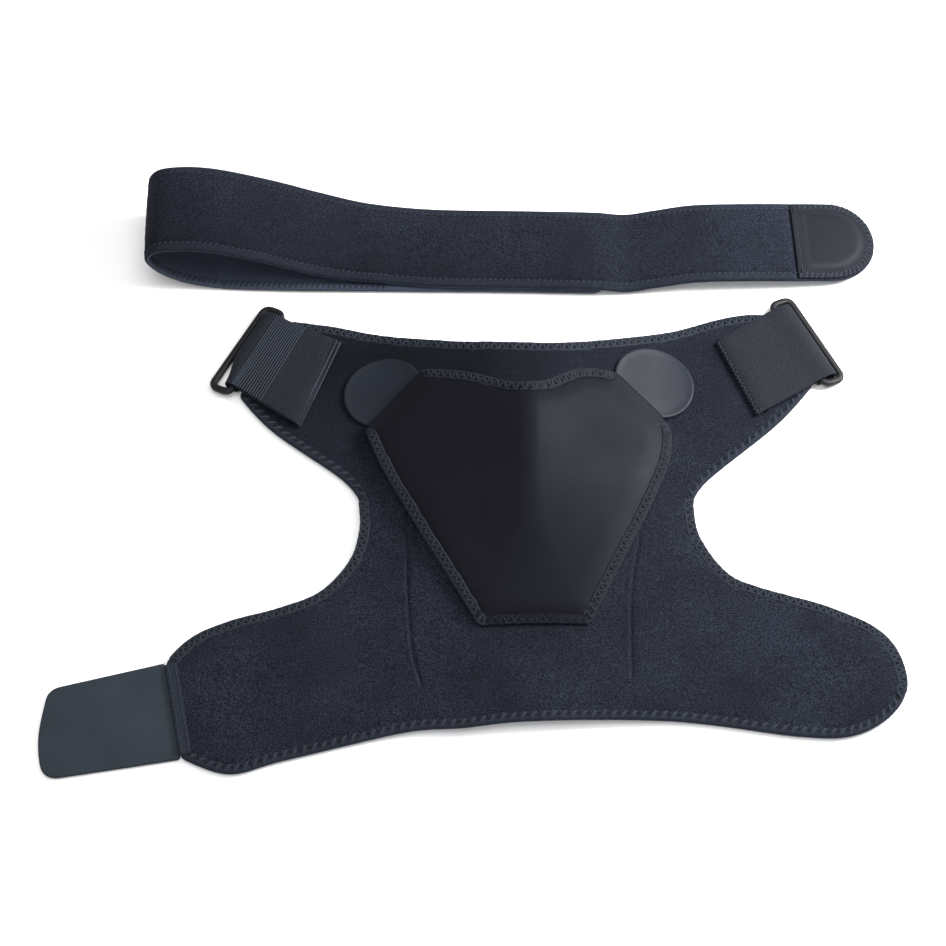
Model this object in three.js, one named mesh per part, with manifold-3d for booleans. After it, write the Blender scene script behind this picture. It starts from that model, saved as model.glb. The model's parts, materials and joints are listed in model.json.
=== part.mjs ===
// Shoulder brace laid flat on a table, with its loose chest strap folded behind it.
// Millimetres, +Z up, +Y away from the viewer, origin under the middle of the whole layout.
import * as THREE from 'three';
import { mergeVertices } from 'three/addons/utils/BufferGeometryUtils.js';
import Module from 'manifold-3d';

const wasm = await Module();
wasm.setup();

// Driving dimensions
const SEAM_GAP = 0.3;             // air left between two pieces that touch
const WELD_DISTANCE = 1e-4;       // points closer than this are one point
const CUTTER_HEIGHT = 200;        // taller than any sheet that it trims
const CURVE_STEPS = 3;            // lines to each stretch of the panel's edge
const CORNER_STEPS = 4;           // lines to a rounded corner

const PANEL_THICK = 4;            // plush cloth on foam
const PANEL_CELL = 10;            // grid size of the panel's surface
const PANEL_X = 29;               // the panel's centre line, from the middle of the layout

const CROWN_NECK = 28;            // how high the panel's middle stands at the neckline
const CROWN_HEM = 5;              // and at the hem
const CROWN_TOP_Y = 30;           // where the crown reaches its full height
const CROWN_LOW_Y = -145;         // where it is lowest
const CROWN_HALF_WIDTH = 84;      // from the ridge to the foot of the slope
const CROWN_RIDGE_SOFT = 0.3;     // rounding of the ridge, as a share of the half width
const CROWN_FOOT_SOFT = 0.2;      // rounding of the foot, as a share of the half width

const TAB_THICK = 2.2;
const TAB_CORNER = 7.5;
const TAB_SEAM_CORNER = 1;

const FLAP_THICK = 3;
const FLAP_CELL = 8;
const FLAP_SEWN_GAP = 0.4;        // air under the flap along its sewn bottom edge
const FLAP_OPEN_GAP = 2.4;        // air under its free edges, where the ears go in
const FLAP_OPEN_Y = 0;            // the gap is full from here upwards

const EAR_THICK = 1.4;
const EAR_CELL = 6;
const EAR_STEPS = 14;             // lines to each half of the round edge

const WEB_WIDTH = 50;
const WEB_THICK = 1.2;
const WEB_LENGTH = 36;            // from the end of the wing back to the webbing's sewn end
const WEB_REST = 0.35;            // air between the webbing and the panel under it
const WEB_LOOP_STEPS = 14;        // lines to the loop round the ring's bar

const RING_LENGTH = 60.5;
const RING_BAR = 3.8;
const RING_SLOT = 7.8;
const RING_THICK = 3.4;
const RING_EDGE = 1.1;            // rounding of the bars' edges
const RING_EDGE_STEPS = 2;
const RING_CORNER = 5.5;          // outer corner radius seen from above
const RING_CORNER_STEPS = 5;
const RING_REACH = 5;             // from the end of the wing to the middle of the held bar
const RING_PLAY = 0.35;           // air between the held bar and the loop round it

const STRAP_Y = 139;
const STRAP_WIDTH = 51;
const STRAP_THICK = 3.5;
const STRAP_STATIONS = 78;
const STRAP_END_STEPS = 7;         // sections in each rounded end
const STRAP_HIDDEN_CORNER = 8;     // corner radius of the end that lies under the strap
const PATCH_THICK = 1.1;
const PATCH_LENGTH = 44;
const PATCH_INSET = 1;

// Edge of the panel, in runs between its corners, measured from its centre line
const NECKLINE = [
  { x: -128, y: 93 },
  { x: -100, y: 88.5 },
  { x: -58, y: 76.5 },
  { x: -29, y: 68.5 },
  { x: 0, y: 64.5 },
  { x: 25, y: 67.5 },
  { x: 73, y: 83 },
  { x: 98, y: 92.5 },
  { x: 117, y: 97 },
  { x: 130, y: 97 },
];
const RIGHT_SHOULDER_EDGE = [
  { x: 153, y: 53 },
  { x: 133, y: 29 },
  { x: 95.5, y: -4.5 },
  { x: 85.5, y: -19.5 },
];
const RIGHT_WING_EDGE = [
  { x: 85.5, y: -22.5 },
  { x: 88, y: -39.5 },
  { x: 100.5, y: -59.5 },
  { x: 115.5, y: -68.5 },
  { x: 155, y: -81.5 },
  { x: 181, y: -97 },
  { x: 190, y: -121 },
  { x: 183, y: -139 },
  { x: 162.5, y: -152 },
  { x: 135, y: -153 },
  { x: 73, y: -145 },
  { x: 0, y: -145.5 },
  { x: -33, y: -148.5 },
  { x: -65, y: -151 },
  { x: -123, y: -166 },
  { x: -150, y: -172.5 },
  { x: -174, y: -165 },
];
const LEFT_BAY_EDGE = [
  { x: -184.5, y: -112 },
  { x: -172.5, y: -98.5 },
  { x: -155, y: -89.5 },
  { x: -126, y: -80.5 },
  { x: -107, y: -71.5 },
  { x: -92.5, y: -54 },
  { x: -87.5, y: -36 },
  { x: -88, y: -22 },
];
const LEFT_SHOULDER_EDGE = [
  { x: -88.5, y: -17.5 },
  { x: -99, y: -4 },
  { x: -135, y: 24 },
  { x: -154, y: 46 },
];

// Far end of the closing tab, beyond the seam at the end of the left lower wing
const TAB_END = [
  { x: -242.5, y: -176.5 },
  { x: -249.5, y: -130 },
];

// How the sewn end of each webbing lies: shifted along the ring, wider than at the ring, cut at a slant
const WEB_ENDS = {
  left: { shift: 1, widen: 6, slant: 4 },
  right: { shift: -4, widen: 0, slant: -2 },
};

// Corners of the flap, clockwise from its sewn bottom edge
const FLAP_CORNERS = [
  { x: -26, y: -96, round: 3 },
  { x: -57, y: -41, round: 20 },
  { x: -78, y: 0, round: 15 },
  { x: -86, y: 22, round: 3 },
  { x: -56, y: 54, round: 4 },
  { x: -31, y: 47, round: 12 },
  { x: 0, y: 31, round: 14 },
  { x: 27, y: 49, round: 9 },
  { x: 47, y: 50, round: 4 },
  { x: 75, y: 24, round: 9 },
  { x: 75, y: 4, round: 10 },
  { x: 62, y: -29, round: 20 },
  { x: 30, y: -95, round: 3 },
];

const EARS = [
  { name: 'ear_left', x: -77, y: 44.5, radius: 21 },
  { name: 'ear_right', x: 67.5, y: 49, radius: 21.5 },
];

// Middle line of the strap, from its hidden end round the fold to the tip.
// z is counted from the height at which it lies flat on the table, drift is sideways.
const STRAP_ROUTE = [
  { x: 73, z: 0, drift: -1.5 },
  { x: 20, z: 0, drift: -0.5 },
  { x: -40, z: 0, drift: 0 },
  { x: -110, z: 0, drift: 1.5 },
  { x: -140, z: 0.2, drift: 3.5 },
  { x: -158, z: 4, drift: 5 },
  { x: -171, z: 13, drift: 6 },
  { x: -176.5, z: 24, drift: 6.5 },
  { x: -171.5, z: 32.5, drift: 6.5 },
  { x: -158.5, z: 35.5, drift: 6.5 },
  { x: -142, z: 34, drift: 6.5 },
  { x: -112, z: 24.5, drift: 6 },
  { x: -85, z: 14, drift: 5 },
  { x: -62, z: 6.8, drift: 3.5 },
  { x: -40, z: 4, drift: 2 },
  { x: -20, z: 3.8, drift: 0.5 },
  { x: 30, z: 3.8, drift: -0.5 },
  { x: 68, z: 3.8, drift: -1.5 },
  { x: 84, z: 1.2, drift: -1 },
  { x: 99, z: 3.4, drift: 0 },
  { x: 120, z: 6.5, drift: 1.5 },
  { x: 150, z: 6.5, drift: 2.5 },
  { x: 178, z: 5, drift: 3.5 },
  { x: 202, z: 2.5, drift: 5 },
  { x: 221, z: 0.2, drift: 5.5 },
];

const COLOURS = {
  plush: new THREE.MeshStandardMaterial({ color: 0x1c1f2a, roughness: 0.95, metalness: 0 }),
  smooth: new THREE.MeshStandardMaterial({ color: 0x26272c, roughness: 0.7, metalness: 0 }),
  hook: new THREE.MeshStandardMaterial({ color: 0x343a42, roughness: 0.6, metalness: 0 }),
  webbing: new THREE.MeshStandardMaterial({ color: 0x22242b, roughness: 0.85, metalness: 0 }),
  plastic: new THREE.MeshStandardMaterial({ color: 0x1e1e20, roughness: 0.45, metalness: 0 }),
};

const clamp01 = (value) => Math.min(1, Math.max(0, value));
const smooth = (value) => clamp01(value) ** 2 * (3 - 2 * clamp01(value));
const toVector = ({ x, y }) => new THREE.Vector2(x, y);

// Closed solids and back

function mergedGeometry(geometry) {
  geometry.deleteAttribute('normal');
  geometry.deleteAttribute('uv');
  return mergeVertices(geometry, WELD_DISTANCE);
}

function solidOf(geometry) {
  const merged = mergedGeometry(geometry);
  const vertProperties = new Float32Array(merged.attributes.position.array);
  const triVerts = new Uint32Array(merged.index.array);
  return new wasm.Manifold(new wasm.Mesh({ numProp: 3, vertProperties, triVerts }));
}

function geometryOf(solid) {
  const { vertProperties, triVerts } = solid.getMesh();
  const geometry = new THREE.BufferGeometry();
  geometry.setAttribute('position', new THREE.BufferAttribute(vertProperties, 3));
  geometry.setIndex(new THREE.BufferAttribute(triVerts, 1));
  return geometry;
}

function namedMesh(name, geometry, material) {
  geometry.computeVertexNormals();
  const mesh = new THREE.Mesh(geometry, material);
  mesh.name = name;
  return mesh;
}

// A sheet with the given outline, between two height functions
function sheetGeometry(outline, bottomAt, topAt, cell, curveSegments) {
  const margin = cell;
  const box = new THREE.Box2().setFromPoints(outline.getPoints(curveSegments));
  const size = box.getSize(new THREE.Vector2()).addScalar(2 * margin);
  const middle = box.getCenter(new THREE.Vector2());
  const slab = new THREE.BoxGeometry(
    size.x, size.y, 1, Math.round(size.x / cell), Math.round(size.y / cell), 1);
  slab.translate(middle.x, middle.y, 0);
  const place = slab.attributes.position;
  for (let i = 0; i < place.count; i += 1) {
    const heightAt = place.getZ(i) > 0 ? topAt : bottomAt;
    place.setZ(i, heightAt(place.getX(i), place.getY(i)));
  }
  const cutter = new THREE.ExtrudeGeometry(outline, {
    depth: CUTTER_HEIGHT,
    bevelEnabled: false,
    curveSegments,
  });
  cutter.translate(0, 0, -CUTTER_HEIGHT / 2);
  return geometryOf(solidOf(slab).intersect(solidOf(cutter)));
}

// Body panel: flat wings and a raised middle with a soft ridge

function tentProfile(u) {
  const away = Math.abs(u);
  if (away < CROWN_RIDGE_SOFT) {
    return 1 - CROWN_RIDGE_SOFT / 2 - away ** 2 / (2 * CROWN_RIDGE_SOFT);
  }
  if (away < 1 - CROWN_FOOT_SOFT) {
    return 1 - away;
  }
  return Math.max(0, 1 + CROWN_FOOT_SOFT - away) ** 2 / (4 * CROWN_FOOT_SOFT);
}

function panelBottom(x, y) {
  const rise = smooth((y - CROWN_LOW_Y) / (CROWN_TOP_Y - CROWN_LOW_Y));
  const height = CROWN_HEM + (CROWN_NECK - CROWN_HEM) * rise;
  return height * tentProfile(x / CROWN_HALF_WIDTH);
}

const panelTop = (x, y) => panelBottom(x, y) + PANEL_THICK;

function panelOutline() {
  const outline = new THREE.Shape();
  outline.moveTo(NECKLINE[0].x, NECKLINE[0].y);
  outline.splineThru(NECKLINE.slice(1).map(toVector));
  for (const run of [RIGHT_SHOULDER_EDGE, RIGHT_WING_EDGE, LEFT_BAY_EDGE, LEFT_SHOULDER_EDGE]) {
    outline.lineTo(run[0].x, run[0].y);
    outline.splineThru(run.slice(1).map(toVector));
  }
  outline.closePath();
  return outline;
}

// A closed polygon with each corner rounded by a short curve
function roundedOutline(corners) {
  const outline = new THREE.Shape();
  corners.forEach((corner, i) => {
    const here = toVector(corner);
    const before = toVector(corners.at(i - 1)).sub(here).setLength(corner.round).add(here);
    const after = toVector(corners[(i + 1) % corners.length]).sub(here).setLength(corner.round).add(here);
    if (i === 0) {
      outline.moveTo(before.x, before.y);
    } else {
      outline.lineTo(before.x, before.y);
    }
    outline.quadraticCurveTo(here.x, here.y, after.x, after.y);
  });
  outline.closePath();
  return outline;
}

// Closing tab: a flat plate that meets the end of the left lower wing

function tabGeometry() {
  const [seamLow, seamHigh] = [RIGHT_WING_EDGE.at(-1), LEFT_BAY_EDGE[0]].map(toVector);
  const along = seamHigh.clone().sub(seamLow).normalize();
  const away = new THREE.Vector2(-along.y, along.x).multiplyScalar(SEAM_GAP);
  seamLow.add(away);
  seamHigh.add(away);
  const outline = roundedOutline([
    { x: seamLow.x, y: seamLow.y, round: TAB_SEAM_CORNER },
    { ...TAB_END[0], round: TAB_CORNER },
    { ...TAB_END[1], round: TAB_CORNER },
    { x: seamHigh.x, y: seamHigh.y, round: TAB_SEAM_CORNER },
  ]);
  const plate = new THREE.ExtrudeGeometry(outline, {
    depth: TAB_THICK,
    bevelEnabled: false,
    curveSegments: CORNER_STEPS,
  });
  return mergedGeometry(plate);
}

// Flap and ears, lying on the raised middle

function flapBottom(x, y) {
  const sewnY = FLAP_CORNERS[0].y;
  const open = smooth((y - sewnY) / (FLAP_OPEN_Y - sewnY));
  return panelTop(x, y) + FLAP_SEWN_GAP + (FLAP_OPEN_GAP - FLAP_SEWN_GAP) * open;
}

function flapGeometry() {
  const flapTop = (x, y) => flapBottom(x, y) + FLAP_THICK;
  return sheetGeometry(roundedOutline(FLAP_CORNERS), flapBottom, flapTop, FLAP_CELL, CORNER_STEPS);
}

function earGeometry({ x, y, radius }) {
  const outline = new THREE.Shape();
  outline.absarc(x, y, radius, 0, 2 * Math.PI);
  const bottomAt = (px, py) => panelTop(px, py) + SEAM_GAP;
  const topAt = (px, py) => bottomAt(px, py) + EAR_THICK;
  return sheetGeometry(outline, bottomAt, topAt, EAR_CELL, EAR_STEPS);
}

// Webbing folded round the held bar of a ring: a ribbon's profile in X and Z, as wide as the webbing

const LOOP_RADIUS = Math.hypot(RING_BAR / 2 - RING_EDGE, RING_THICK / 2 - RING_EDGE) + RING_EDGE + RING_PLAY;
const AXIS_HEIGHT = LOOP_RADIUS + WEB_THICK + RING_PLAY;

function tangentAngle(point, centre, radius, side) {
  const toPoint = point.clone().sub(centre);
  return toPoint.angle() + side * Math.acos(radius / toPoint.length());
}

function webbingPath() {
  const radius = LOOP_RADIUS + WEB_THICK / 2;
  const centre = new THREE.Vector2(RING_REACH, AXIS_HEIGHT);
  const lowZ = PANEL_THICK + WEB_REST + WEB_THICK / 2;
  const highZ = lowZ + WEB_THICK + SEAM_GAP;
  const lowTurn = new THREE.Vector2(WEB_THICK / 3, lowZ);
  const highTurn = new THREE.Vector2(-WEB_THICK, highZ);
  const from = tangentAngle(lowTurn, centre, radius, 1);
  const to = tangentAngle(highTurn, centre, radius, -1) + 2 * Math.PI;
  const path = [new THREE.Vector2(-WEB_LENGTH, lowZ), lowTurn];
  for (let i = 0; i <= WEB_LOOP_STEPS; i += 1) {
    const angle = THREE.MathUtils.lerp(from, to, i / WEB_LOOP_STEPS);
    path.push(new THREE.Vector2(Math.cos(angle), Math.sin(angle)).multiplyScalar(radius).add(centre));
  }
  path.push(highTurn, new THREE.Vector2(-WEB_LENGTH, highZ));
  return path;
}

function offsetPath(path, distance) {
  return path.map((point, i) => {
    const before = i > 0 ? point.clone().sub(path[i - 1]).normalize() : null;
    const after = i < path.length - 1 ? path[i + 1].clone().sub(point).normalize() : null;
    const first = before ?? after;
    const second = after ?? before;
    const normal = new THREE.Vector2(-first.y - second.y, first.x + second.x).normalize();
    const stretch = normal.x * -first.y + normal.y * first.x;
    return point.clone().addScaledVector(normal, distance / stretch);
  });
}

function webbingGeometry({ shift, widen, slant }) {
  const path = webbingPath();
  const inner = offsetPath(path, WEB_THICK / 2);
  const outer = offsetPath(path, -WEB_THICK / 2);
  const profile = new THREE.Shape([...outer, ...inner.reverse()]);
  const geometry = new THREE.ExtrudeGeometry(profile, { depth: WEB_WIDTH, bevelEnabled: false });
  geometry.translate(0, 0, -WEB_WIDTH / 2);
  geometry.rotateX(Math.PI / 2);
  const place = geometry.attributes.position;
  for (let i = 0; i < place.count; i += 1) {
    const back = clamp01(-place.getX(i) / WEB_LENGTH);
    const across = place.getY(i) / WEB_WIDTH;
    place.setX(i, place.getX(i) - 2 * back * slant * across);
    place.setY(i, across * (WEB_WIDTH + back * widen) + back * shift);
  }
  return mergedGeometry(geometry);
}

// Ring: a rounded rectangular frame, its held bar along Y through the local origin

function roundedRectangle(PathType, low, high, radius) {
  const path = new PathType();
  path.moveTo(low.x + radius, low.y);
  path.lineTo(high.x - radius, low.y);
  path.absarc(high.x - radius, low.y + radius, radius, -Math.PI / 2, 0);
  path.lineTo(high.x, high.y - radius);
  path.absarc(high.x - radius, high.y - radius, radius, 0, Math.PI / 2);
  path.lineTo(low.x + radius, high.y);
  path.absarc(low.x + radius, high.y - radius, radius, Math.PI / 2, Math.PI);
  path.lineTo(low.x, low.y + radius);
  path.absarc(low.x + radius, low.y + radius, radius, Math.PI, 1.5 * Math.PI);
  return path;
}

function ringGeometry() {
  const low = new THREE.Vector2(-RING_BAR / 2, -RING_LENGTH / 2);
  const high = new THREE.Vector2(RING_BAR * 1.5 + RING_SLOT, RING_LENGTH / 2);
  const frame = roundedRectangle(THREE.Shape, low, high, RING_CORNER);
  const slotLow = low.clone().addScalar(RING_BAR);
  const slotHigh = high.clone().subScalar(RING_BAR);
  frame.holes.push(roundedRectangle(THREE.Path, slotLow, slotHigh, RING_CORNER - RING_BAR));
  const geometry = new THREE.ExtrudeGeometry(frame, {
    depth: RING_THICK - 2 * RING_EDGE,
    bevelThickness: RING_EDGE,
    bevelSize: RING_EDGE,
    bevelOffset: -RING_EDGE,
    bevelSegments: RING_EDGE_STEPS,
    curveSegments: RING_CORNER_STEPS,
  });
  geometry.translate(0, 0, RING_EDGE - RING_THICK / 2);
  return mergedGeometry(geometry);
}

// One wing's ring and webbing, in a group whose local X points out of the wing's end
function wingEnd(side, first, second) {
  const group = new THREE.Group();
  const [a, b] = [toVector(first), toVector(second)];
  const middle = a.clone().add(b).divideScalar(2);
  const outward = new THREE.Vector2(a.y - b.y, b.x - a.x);
  group.position.set(middle.x, middle.y, 0);
  group.rotation.z = outward.angle();
  const ring = namedMesh(`ring_${side}`, ringGeometry(), COLOURS.plastic);
  const barSpacing = RING_BAR + RING_SLOT;
  const restHeight = RING_THICK / 2 + RING_PLAY / 2;
  ring.position.set(RING_REACH, 0, AXIS_HEIGHT);
  ring.rotation.y = Math.asin((AXIS_HEIGHT - restHeight) / barSpacing);
  group.add(namedMesh(`webbing_${side}`, webbingGeometry(WEB_ENDS[side]), COLOURS.webbing), ring);
  return group;
}

// Strap: a ribbon swept along its route, with round ends

const strapPoints = STRAP_ROUTE.map(({ x, z, drift }) => new THREE.Vector3(x, drift, z + STRAP_THICK / 2));
const strapCurve = new THREE.CatmullRomCurve3(strapPoints, false, 'centripetal');

// Distances along the strap: close together in the rounded ends, even between them
function ribbonStations(start, end, startRound, endRound) {
  const quarter = (i) => 1 - Math.cos((i / STRAP_END_STEPS) * (Math.PI / 2));
  const evenStart = start + startRound;
  const evenEnd = end - endRound;
  const steps = Math.ceil(STRAP_STATIONS * (evenEnd - evenStart) / strapCurve.getLength());
  const stations = [];
  for (let i = 1; i < STRAP_END_STEPS && startRound > 0; i += 1) {
    stations.push(start + startRound * quarter(i));
  }
  for (let i = 0; i <= steps; i += 1) {
    stations.push(THREE.MathUtils.lerp(evenStart, evenEnd, i / steps));
  }
  for (let i = STRAP_END_STEPS - 1; i > 0; i -= 1) {
    stations.push(end - endRound * quarter(i));
  }
  return stations;
}

// How much a rounded corner takes off the half width, at a distance from its end
function cornerLoss(fromEnd, radius) {
  const short = Math.max(0, radius - fromEnd);
  return radius - Math.sqrt(radius ** 2 - short ** 2);
}

// Closed skin round rings of four corners: lower front, lower back, upper back, upper front
function ribbonGeometry({ start, end, startRound, halfWidth, low, high }) {
  const total = strapCurve.getLength();
  const stations = ribbonStations(start, end, startRound, halfWidth);
  const points = [];
  for (const s of stations) {
    const middle = strapCurve.getPointAt(s / total);
    const tangent = strapCurve.getTangentAt(s / total);
    const normal = new THREE.Vector3(tangent.z, 0, -tangent.x).normalize();
    const half = halfWidth - cornerLoss(s - start, startRound) - cornerLoss(end - s, halfWidth);
    for (const [across, lift] of [[-half, low], [half, low], [half, high], [-half, high]]) {
      const corner = middle.clone().addScaledVector(normal, lift);
      points.push(corner.x, corner.y + across, Math.max(0, corner.z));
    }
  }
  const index = [];
  const last = stations.length - 1;
  for (let ring = 0; ring < last; ring += 1) {
    for (let side = 0; side < 4; side += 1) {
      const a = 4 * ring + side;
      const b = 4 * ring + ((side + 1) % 4);
      index.push(a, b + 4, b, a, a + 4, b + 4);
    }
  }
  const cap = 4 * last;
  index.push(0, 1, 2, 0, 2, 3);
  index.push(cap, cap + 2, cap + 1, cap, cap + 3, cap + 2);
  const geometry = new THREE.BufferGeometry();
  geometry.setAttribute('position', new THREE.Float32BufferAttribute(points, 3));
  geometry.setIndex(index);
  return geometry;
}

function strapGroup() {
  const total = strapCurve.getLength();
  const halfThick = STRAP_THICK / 2;
  const strap = ribbonGeometry({
    start: 0,
    end: total,
    startRound: STRAP_HIDDEN_CORNER,
    halfWidth: STRAP_WIDTH / 2,
    low: -halfThick,
    high: halfThick,
  });
  const patch = ribbonGeometry({
    start: total - PATCH_LENGTH,
    end: total - PATCH_INSET,
    startRound: 0,
    halfWidth: STRAP_WIDTH / 2 - PATCH_INSET,
    low: -halfThick - SEAM_GAP - PATCH_THICK,
    high: -halfThick - SEAM_GAP,
  });
  const group = new THREE.Group();
  group.add(namedMesh('strap', strap, COLOURS.plush), namedMesh('strap_hook_patch', patch, COLOURS.hook));
  group.position.y = STRAP_Y;
  return group;
}

// The panel and all that is sewn to it
function panelGroup() {
  const group = new THREE.Group();
  const panel = sheetGeometry(panelOutline(), panelBottom, panelTop, PANEL_CELL, CURVE_STEPS);
  group.add(namedMesh('body_panel', panel, COLOURS.plush));
  group.add(namedMesh('hook_tab', tabGeometry(), COLOURS.hook));
  group.add(namedMesh('pocket_flap', flapGeometry(), COLOURS.smooth));
  for (const ear of EARS) {
    group.add(namedMesh(ear.name, earGeometry(ear), COLOURS.hook));
  }
  group.add(wingEnd('left', LEFT_SHOULDER_EDGE.at(-1), NECKLINE[0]));
  group.add(wingEnd('right', NECKLINE.at(-1), RIGHT_SHOULDER_EDGE[0]));
  group.position.x = PANEL_X;
  return group;
}

const layout = new THREE.Group();
layout.add(panelGroup(), strapGroup());
layout.updateMatrixWorld(true);
const box = new THREE.Box3().setFromObject(layout, true);
const centre = box.getCenter(new THREE.Vector3());
layout.position.set(-centre.x, -centre.y, -box.min.z);

const brace = new THREE.Group();
brace.add(layout);

export default brace;
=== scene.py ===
"""Dresses the solids of a padded cloth shoulder brace that lies on a table, with its folded chest strap."""
import json
import math

import bpy
import numpy as np
from bpy.props import FloatProperty, FloatVectorProperty, IntProperty, PointerProperty
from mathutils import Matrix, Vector
from mathutils.geometry import delaunay_2d_cdt


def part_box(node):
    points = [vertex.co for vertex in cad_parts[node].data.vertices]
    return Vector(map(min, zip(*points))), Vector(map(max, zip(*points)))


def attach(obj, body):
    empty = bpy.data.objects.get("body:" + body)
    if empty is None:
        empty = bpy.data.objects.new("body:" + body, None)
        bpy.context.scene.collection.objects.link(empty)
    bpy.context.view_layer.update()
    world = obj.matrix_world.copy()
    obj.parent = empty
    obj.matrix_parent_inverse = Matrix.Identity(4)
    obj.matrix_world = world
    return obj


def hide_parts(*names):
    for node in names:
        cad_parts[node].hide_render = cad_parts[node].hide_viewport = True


bl_info = {
    "name": "Shoulder brace",
    "version": (1, 0, 0),
    "blender": (4, 5, 0),
    "location": "3D View > Sidebar > Brace",
    "description": "Cloth, stitches, webbing, rings and stage of a padded shoulder brace",
    "category": "Object",
}

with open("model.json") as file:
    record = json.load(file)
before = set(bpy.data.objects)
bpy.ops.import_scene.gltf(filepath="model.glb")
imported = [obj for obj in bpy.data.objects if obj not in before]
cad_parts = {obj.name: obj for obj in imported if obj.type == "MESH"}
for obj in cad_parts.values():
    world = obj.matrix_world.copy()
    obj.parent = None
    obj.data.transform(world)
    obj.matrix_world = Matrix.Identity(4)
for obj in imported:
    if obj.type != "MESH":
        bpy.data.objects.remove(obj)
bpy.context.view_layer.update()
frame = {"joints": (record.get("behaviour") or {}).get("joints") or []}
MM = 0.001

# Edge of the body panel in runs between its corners: x, y in millimetres from its centre line
NECKLINE = (
    (-128, 93), (-100, 88.5), (-58, 76.5), (-29, 68.5), (0, 64.5), (25, 67.5), (73, 83), (98, 92.5),
    (117, 97), (130, 97),
)
RIGHT_SHOULDER_EDGE = ((153, 53), (133, 29), (95.5, -4.5), (85.5, -19.5))
RIGHT_WING_EDGE = (
    (85.5, -22.5), (88, -39.5), (100.5, -59.5), (115.5, -68.5), (155, -81.5), (181, -97), (190, -121),
    (183, -139), (162.5, -152), (135, -153), (73, -145), (0, -146.4), (-33, -149.5), (-65, -151.6),
    (-123, -166), (-150, -173.4), (-174, -165),
)
LEFT_BAY_EDGE = (
    (-184.5, -112), (-172.5, -98.5), (-155, -89.5), (-126, -80.5), (-107, -71.5), (-92.5, -54),
    (-87.5, -36), (-88, -22),
)
LEFT_SHOULDER_EDGE = ((-88.5, -17.5), (-99, -4), (-135, 24), (-154, 46))
# Outer corners of the tab: x, y and rounding in millimetres
TAB_END = ((-242.4, -176.4, 9), (-247, -155, 12), (-243, -126.8, 6))

# Corners of the flap: x, y and rounding in millimetres, clockwise from the sewn bottom edge
FLAP_CORNERS = (
    (-26, -96, 3), (-57, -41, 20), (-78, 0, 15), (-86, 22, 3), (-56, 54, 4), (-31, 47, 12), (0, 31, 14),
    (27, 49, 9), (47, 50, 4), (75, 24, 9), (75, 4, 10), (62, -29, 20), (30, -95, 3),
)
# Stretches of the flap's edge that carry no stitches: next to the left ear and next to the right ear
FLAP_PLAIN_EDGES = ((3, 4), (8, 9))

# Round ears under the flap: name, x, y, radius in millimetres
EARS = (("ear_left", -77, 44.5, 21), ("ear_right", 67.5, 49, 21.5))

# Sewn darts of the body panel: x, y in millimetres from the top down
DARTS = (
    ((-64, -25), (-63.5, -50), (-63, -73), (-60.4, -106), (-54.6, -130)),
    ((57, -40), (51.5, -75), (50.7, -100), (50.5, -124)),
)

# Middle line of the strap from its hidden end to the tip: x, height over lying flat, sideways drift
STRAP_ROUTE = (
    (73, 0, -1.5), (20, 0, -0.5), (-40, 0, 0), (-110, 0, 0.8), (-140, 0.2, 2.2), (-158, 4, 3.5),
    (-171, 13, 5.2), (-176.5, 24, 6.5), (-171.5, 32.5, 6.5), (-158.5, 35.5, 6.5), (-142, 34, 6.5),
    (-112, 24.5, 6), (-85, 14, 5), (-62, 6.8, 3.5), (-40, 4, 2), (-20, 3.8, 0.5), (30, 3.8, -0.5),
    (68, 3.8, -1.5), (84, 1.2, -1), (99, 3.4, 0), (120, 6.5, 1.5), (150, 6.5, 2.5), (178, 5, 3.5),
    (202, 2.5, 5), (221, 0.2, 5.5),
)

# How each webbing lies, in millimetres: its sewn end's shift along the ring, extra width and slant, and its
# shift at the ring
WEB_ENDS = {"left": (1, 6, 4, 0), "right": (-4, 0, -2, -0.8)}

# Crown of the body panel
CROWN_NECK = 0.028
CROWN_HEM = 0.005
CROWN_TOP_Y = 0.030
CROWN_LOW_Y = -0.145
CROWN_HALF_WIDTH = 0.084
CROWN_RIDGE_SOFT = 0.3
CROWN_FOOT_SOFT = 0.2

FLAP_SEWN_GAP = 0.0004
FLAP_OPEN_GAP = 0.0024
FLAP_RIDGE_SOFT = 0.06
# Where the flap's ridge starts to sharpen, and over what distance
FLAP_RIDGE_Y = -0.09
FLAP_RIDGE_RUN = 0.06
EAR_GAP = 0.0003

RING_LENGTH = 0.0605
RING_BAR = 0.0038
RING_SLOT = 0.0078
RING_THICK = 0.0034
RING_CORNER = 0.0055
RING_REACH = 0.005
RING_REST_GAP = 0.000175

WEB_WIDTH = 0.050
WEB_THICK = 0.0012
WEB_LENGTH = 0.036
WEB_LOOP_RADIUS = 0.00305
WEB_LOW_Z = 0.00495
WEB_LAYER_STEP = 0.0015

STRAP_Y = 0.139
STRAP_HIDDEN_CORNER = 0.008
PATCH_LENGTH = 0.044
PATCH_INSET = 0.001

STEPS_PER_STITCH = 5
STEPS_PER_CHAIN = 4
STEPS_PER_SMALL_STITCH = 3
# How uneven the stitches are, as a share of their size
STITCH_UNEVEN = 0.06
# How wide an overlock presses the cloth along its inner line and between its threads
PRESSED_LINE = 0.0009
PRESSED_HOLLOW = 0.0013
# How far past its band the thread's colour reaches, and over what distance it fades
TINT_PAST = 0.0004
TINT_FADE = 0.002
# Half the distance between two places that give a direction on a sheet
PROBE = 0.0005

# Places in the shared frame, worked out from a packed ear, whose box is centred on its middle
EAR_LOW, EAR_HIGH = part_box("ear_right")
PANEL_ORIGIN = np.array(((EAR_LOW + EAR_HIGH) / 2)[:2]) - np.array(EARS[1][1:3]) * MM
PANEL_FROM_MIDDLE = 0.029
LAYOUT_MIDDLE = PANEL_ORIGIN - (PANEL_FROM_MIDDLE, 0)


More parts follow.
